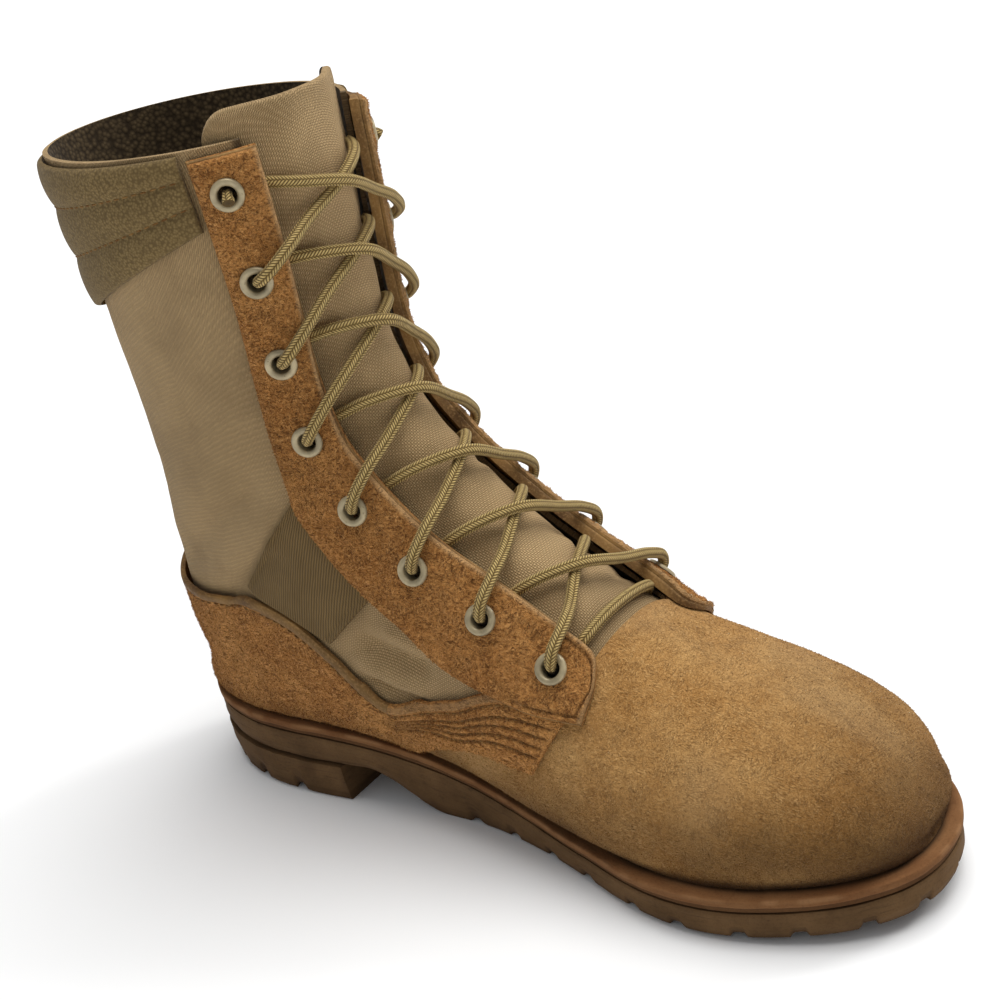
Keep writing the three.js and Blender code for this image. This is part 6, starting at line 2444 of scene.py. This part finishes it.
        made = lofted(
            "heel_block", rings, self.boot.place, [self.boot.finishes.outsole], [0] * (len(rings) - 1),
            {"dirt_and_shade": np.clip(np.stack(dirt_and_shade), 0, 0.9)},
        )
        self.boot.keep(made, "outsole", "heel")


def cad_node(name: str) -> Object:
    """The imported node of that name."""
    return bpy.data.objects[name]


@dataclass(frozen=True)
class View:
    """The photograph's camera: where it stands, looks and rolls, in the sole's own frame."""

    target: tuple[float, float] = (210.09, -31.98)
    distance: float = 562.94
    azimuth: float = 39.45
    elevation: float = 37.95
    roll: float = -13.11
    sensor: float = 36.0
    margin: float = 0.93

    def eye(self) -> Array:
        """Place of the camera in millimetres."""
        return np.array([*self.target, 0.0]) + self.back() * self.distance

    def back(self) -> Array:
        """Direction from the photograph's target to the camera."""
        a, e = np.radians(self.azimuth), np.radians(self.elevation)
        return np.array([np.sin(a) * np.cos(e), -np.cos(a) * np.cos(e), np.sin(e)])

    def axes(self, back: Array) -> tuple[Array, Array]:
        """Right and up of the camera for a direction to it."""
        right = np.cross((0, 0, 1), back)
        right /= np.linalg.norm(right)
        up = np.cross(back, right)
        r = np.radians(self.roll)
        return np.cos(r) * right + np.sin(r) * up, -np.sin(r) * right + np.cos(r) * up

    def build(self, place: Place, points: Array) -> Object:
        """Makes the camera, aimed so that the whole boot fits.

        Args:
            place: Shift to the row's frame.
            points: Points of the boot in metres.

        Returns:
            The camera.
        """
        eye = place.metres(self.eye()[None])[0]
        back = self.back()
        for _ in range(6):
            right, up = self.axes(back)
            gap = points - eye
            depth = -(gap @ back)
            across, rise = (gap @ right) / depth, (gap @ up) / depth
            middle = [(side.max() + side.min()) / 2 for side in (across, rise)]
            aim = -back + right * middle[0] + up * middle[1]
            back = -aim / np.linalg.norm(aim)
        reach = max(np.abs(across).max(), np.abs(rise).max())
        data = bpy.data.cameras.new("camera")
        data.sensor_width = self.sensor
        data.sensor_fit = "HORIZONTAL"
        data.lens = self.sensor / 2 / reach * self.margin
        camera = bpy.data.objects.new("camera", data)
        right, up = self.axes(back)
        turn = Matrix((right, up, back)).transposed().to_4x4()
        camera.matrix_world = Matrix.Translation(Vector(eye)) @ turn
        bpy.context.scene.collection.objects.link(camera)
        bpy.context.scene.camera = camera
        log.info("lens %.1f mm", data.lens)
        return camera


@dataclass(frozen=True)
class Studio:
    """Pale floor and soft light."""

    floor_size: float = 24.0
    sky: float = 0.4
    power: float = 2.55
    softness: float = 45.0
    direction: tuple[float, float, float] = (0.1, 0.2, 1.0)

    def build(self) -> None:
        """Makes floor, lights and surroundings."""
        half = self.floor_size / 2
        points = np.array([(-half, -half, 0), (half, -half, 0), (half, half, 0), (-half, half, 0)], float)
        s = Shading("studio_floor", 0.9, specular_ior_level=0.2)
        s.surface.inputs["Base Color"].default_value = linear("#f7f7f6")
        floor = make_mesh("studio_floor", points, np.array([[0, 1, 2, 3]]), [s.material])
        world = bpy.data.worlds.new("studio")
        world.use_nodes = True
        world.node_tree.nodes["Background"].inputs["Color"].default_value = linear("#f6f8fc")
        world.node_tree.nodes["Background"].inputs["Strength"].default_value = self.sky
        bpy.context.scene.world = world
        bpy.context.scene.view_settings.view_transform = "Standard"
        self.lamp("overhead", self.power, self.softness, self.direction)
        self.lamp("behind", 0.7, 14.0, (0.5, 0.75, 0.6))

    @staticmethod
    def lamp(name: str, power: float, softness: float, direction: tuple[float, float, float]) -> None:
        """A distant light from a direction, its softness in degrees."""
        data = bpy.data.lights.new(name, "SUN")
        data.energy = power
        data.angle = np.radians(softness)
        made = bpy.data.objects.new(name, data)
        made.rotation_euler = (-Vector(direction)).to_track_quat("-Z", "Y").to_euler()
        bpy.context.scene.collection.objects.link(made)


def main() -> None:
    """Dresses the boot."""
    logging.basicConfig(level=logging.INFO, format="%(name)s: %(message)s")
    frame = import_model()
    place = Place.of_frame()
    corners = [v.co for name in frame["nodes"] for v in frame["nodes"][name].data.vertices]
    View().build(place, np.array(corners))
    boot = Boot(Form(), place, Finishes(), Repeater(), NapTree())
    for part in (SoleUnit(boot), Upper(boot), Facings(boot), Tongue(boot), Lacing(boot)):
        part.build()
    Studio().build()


if __name__ == "__main__":
    main()
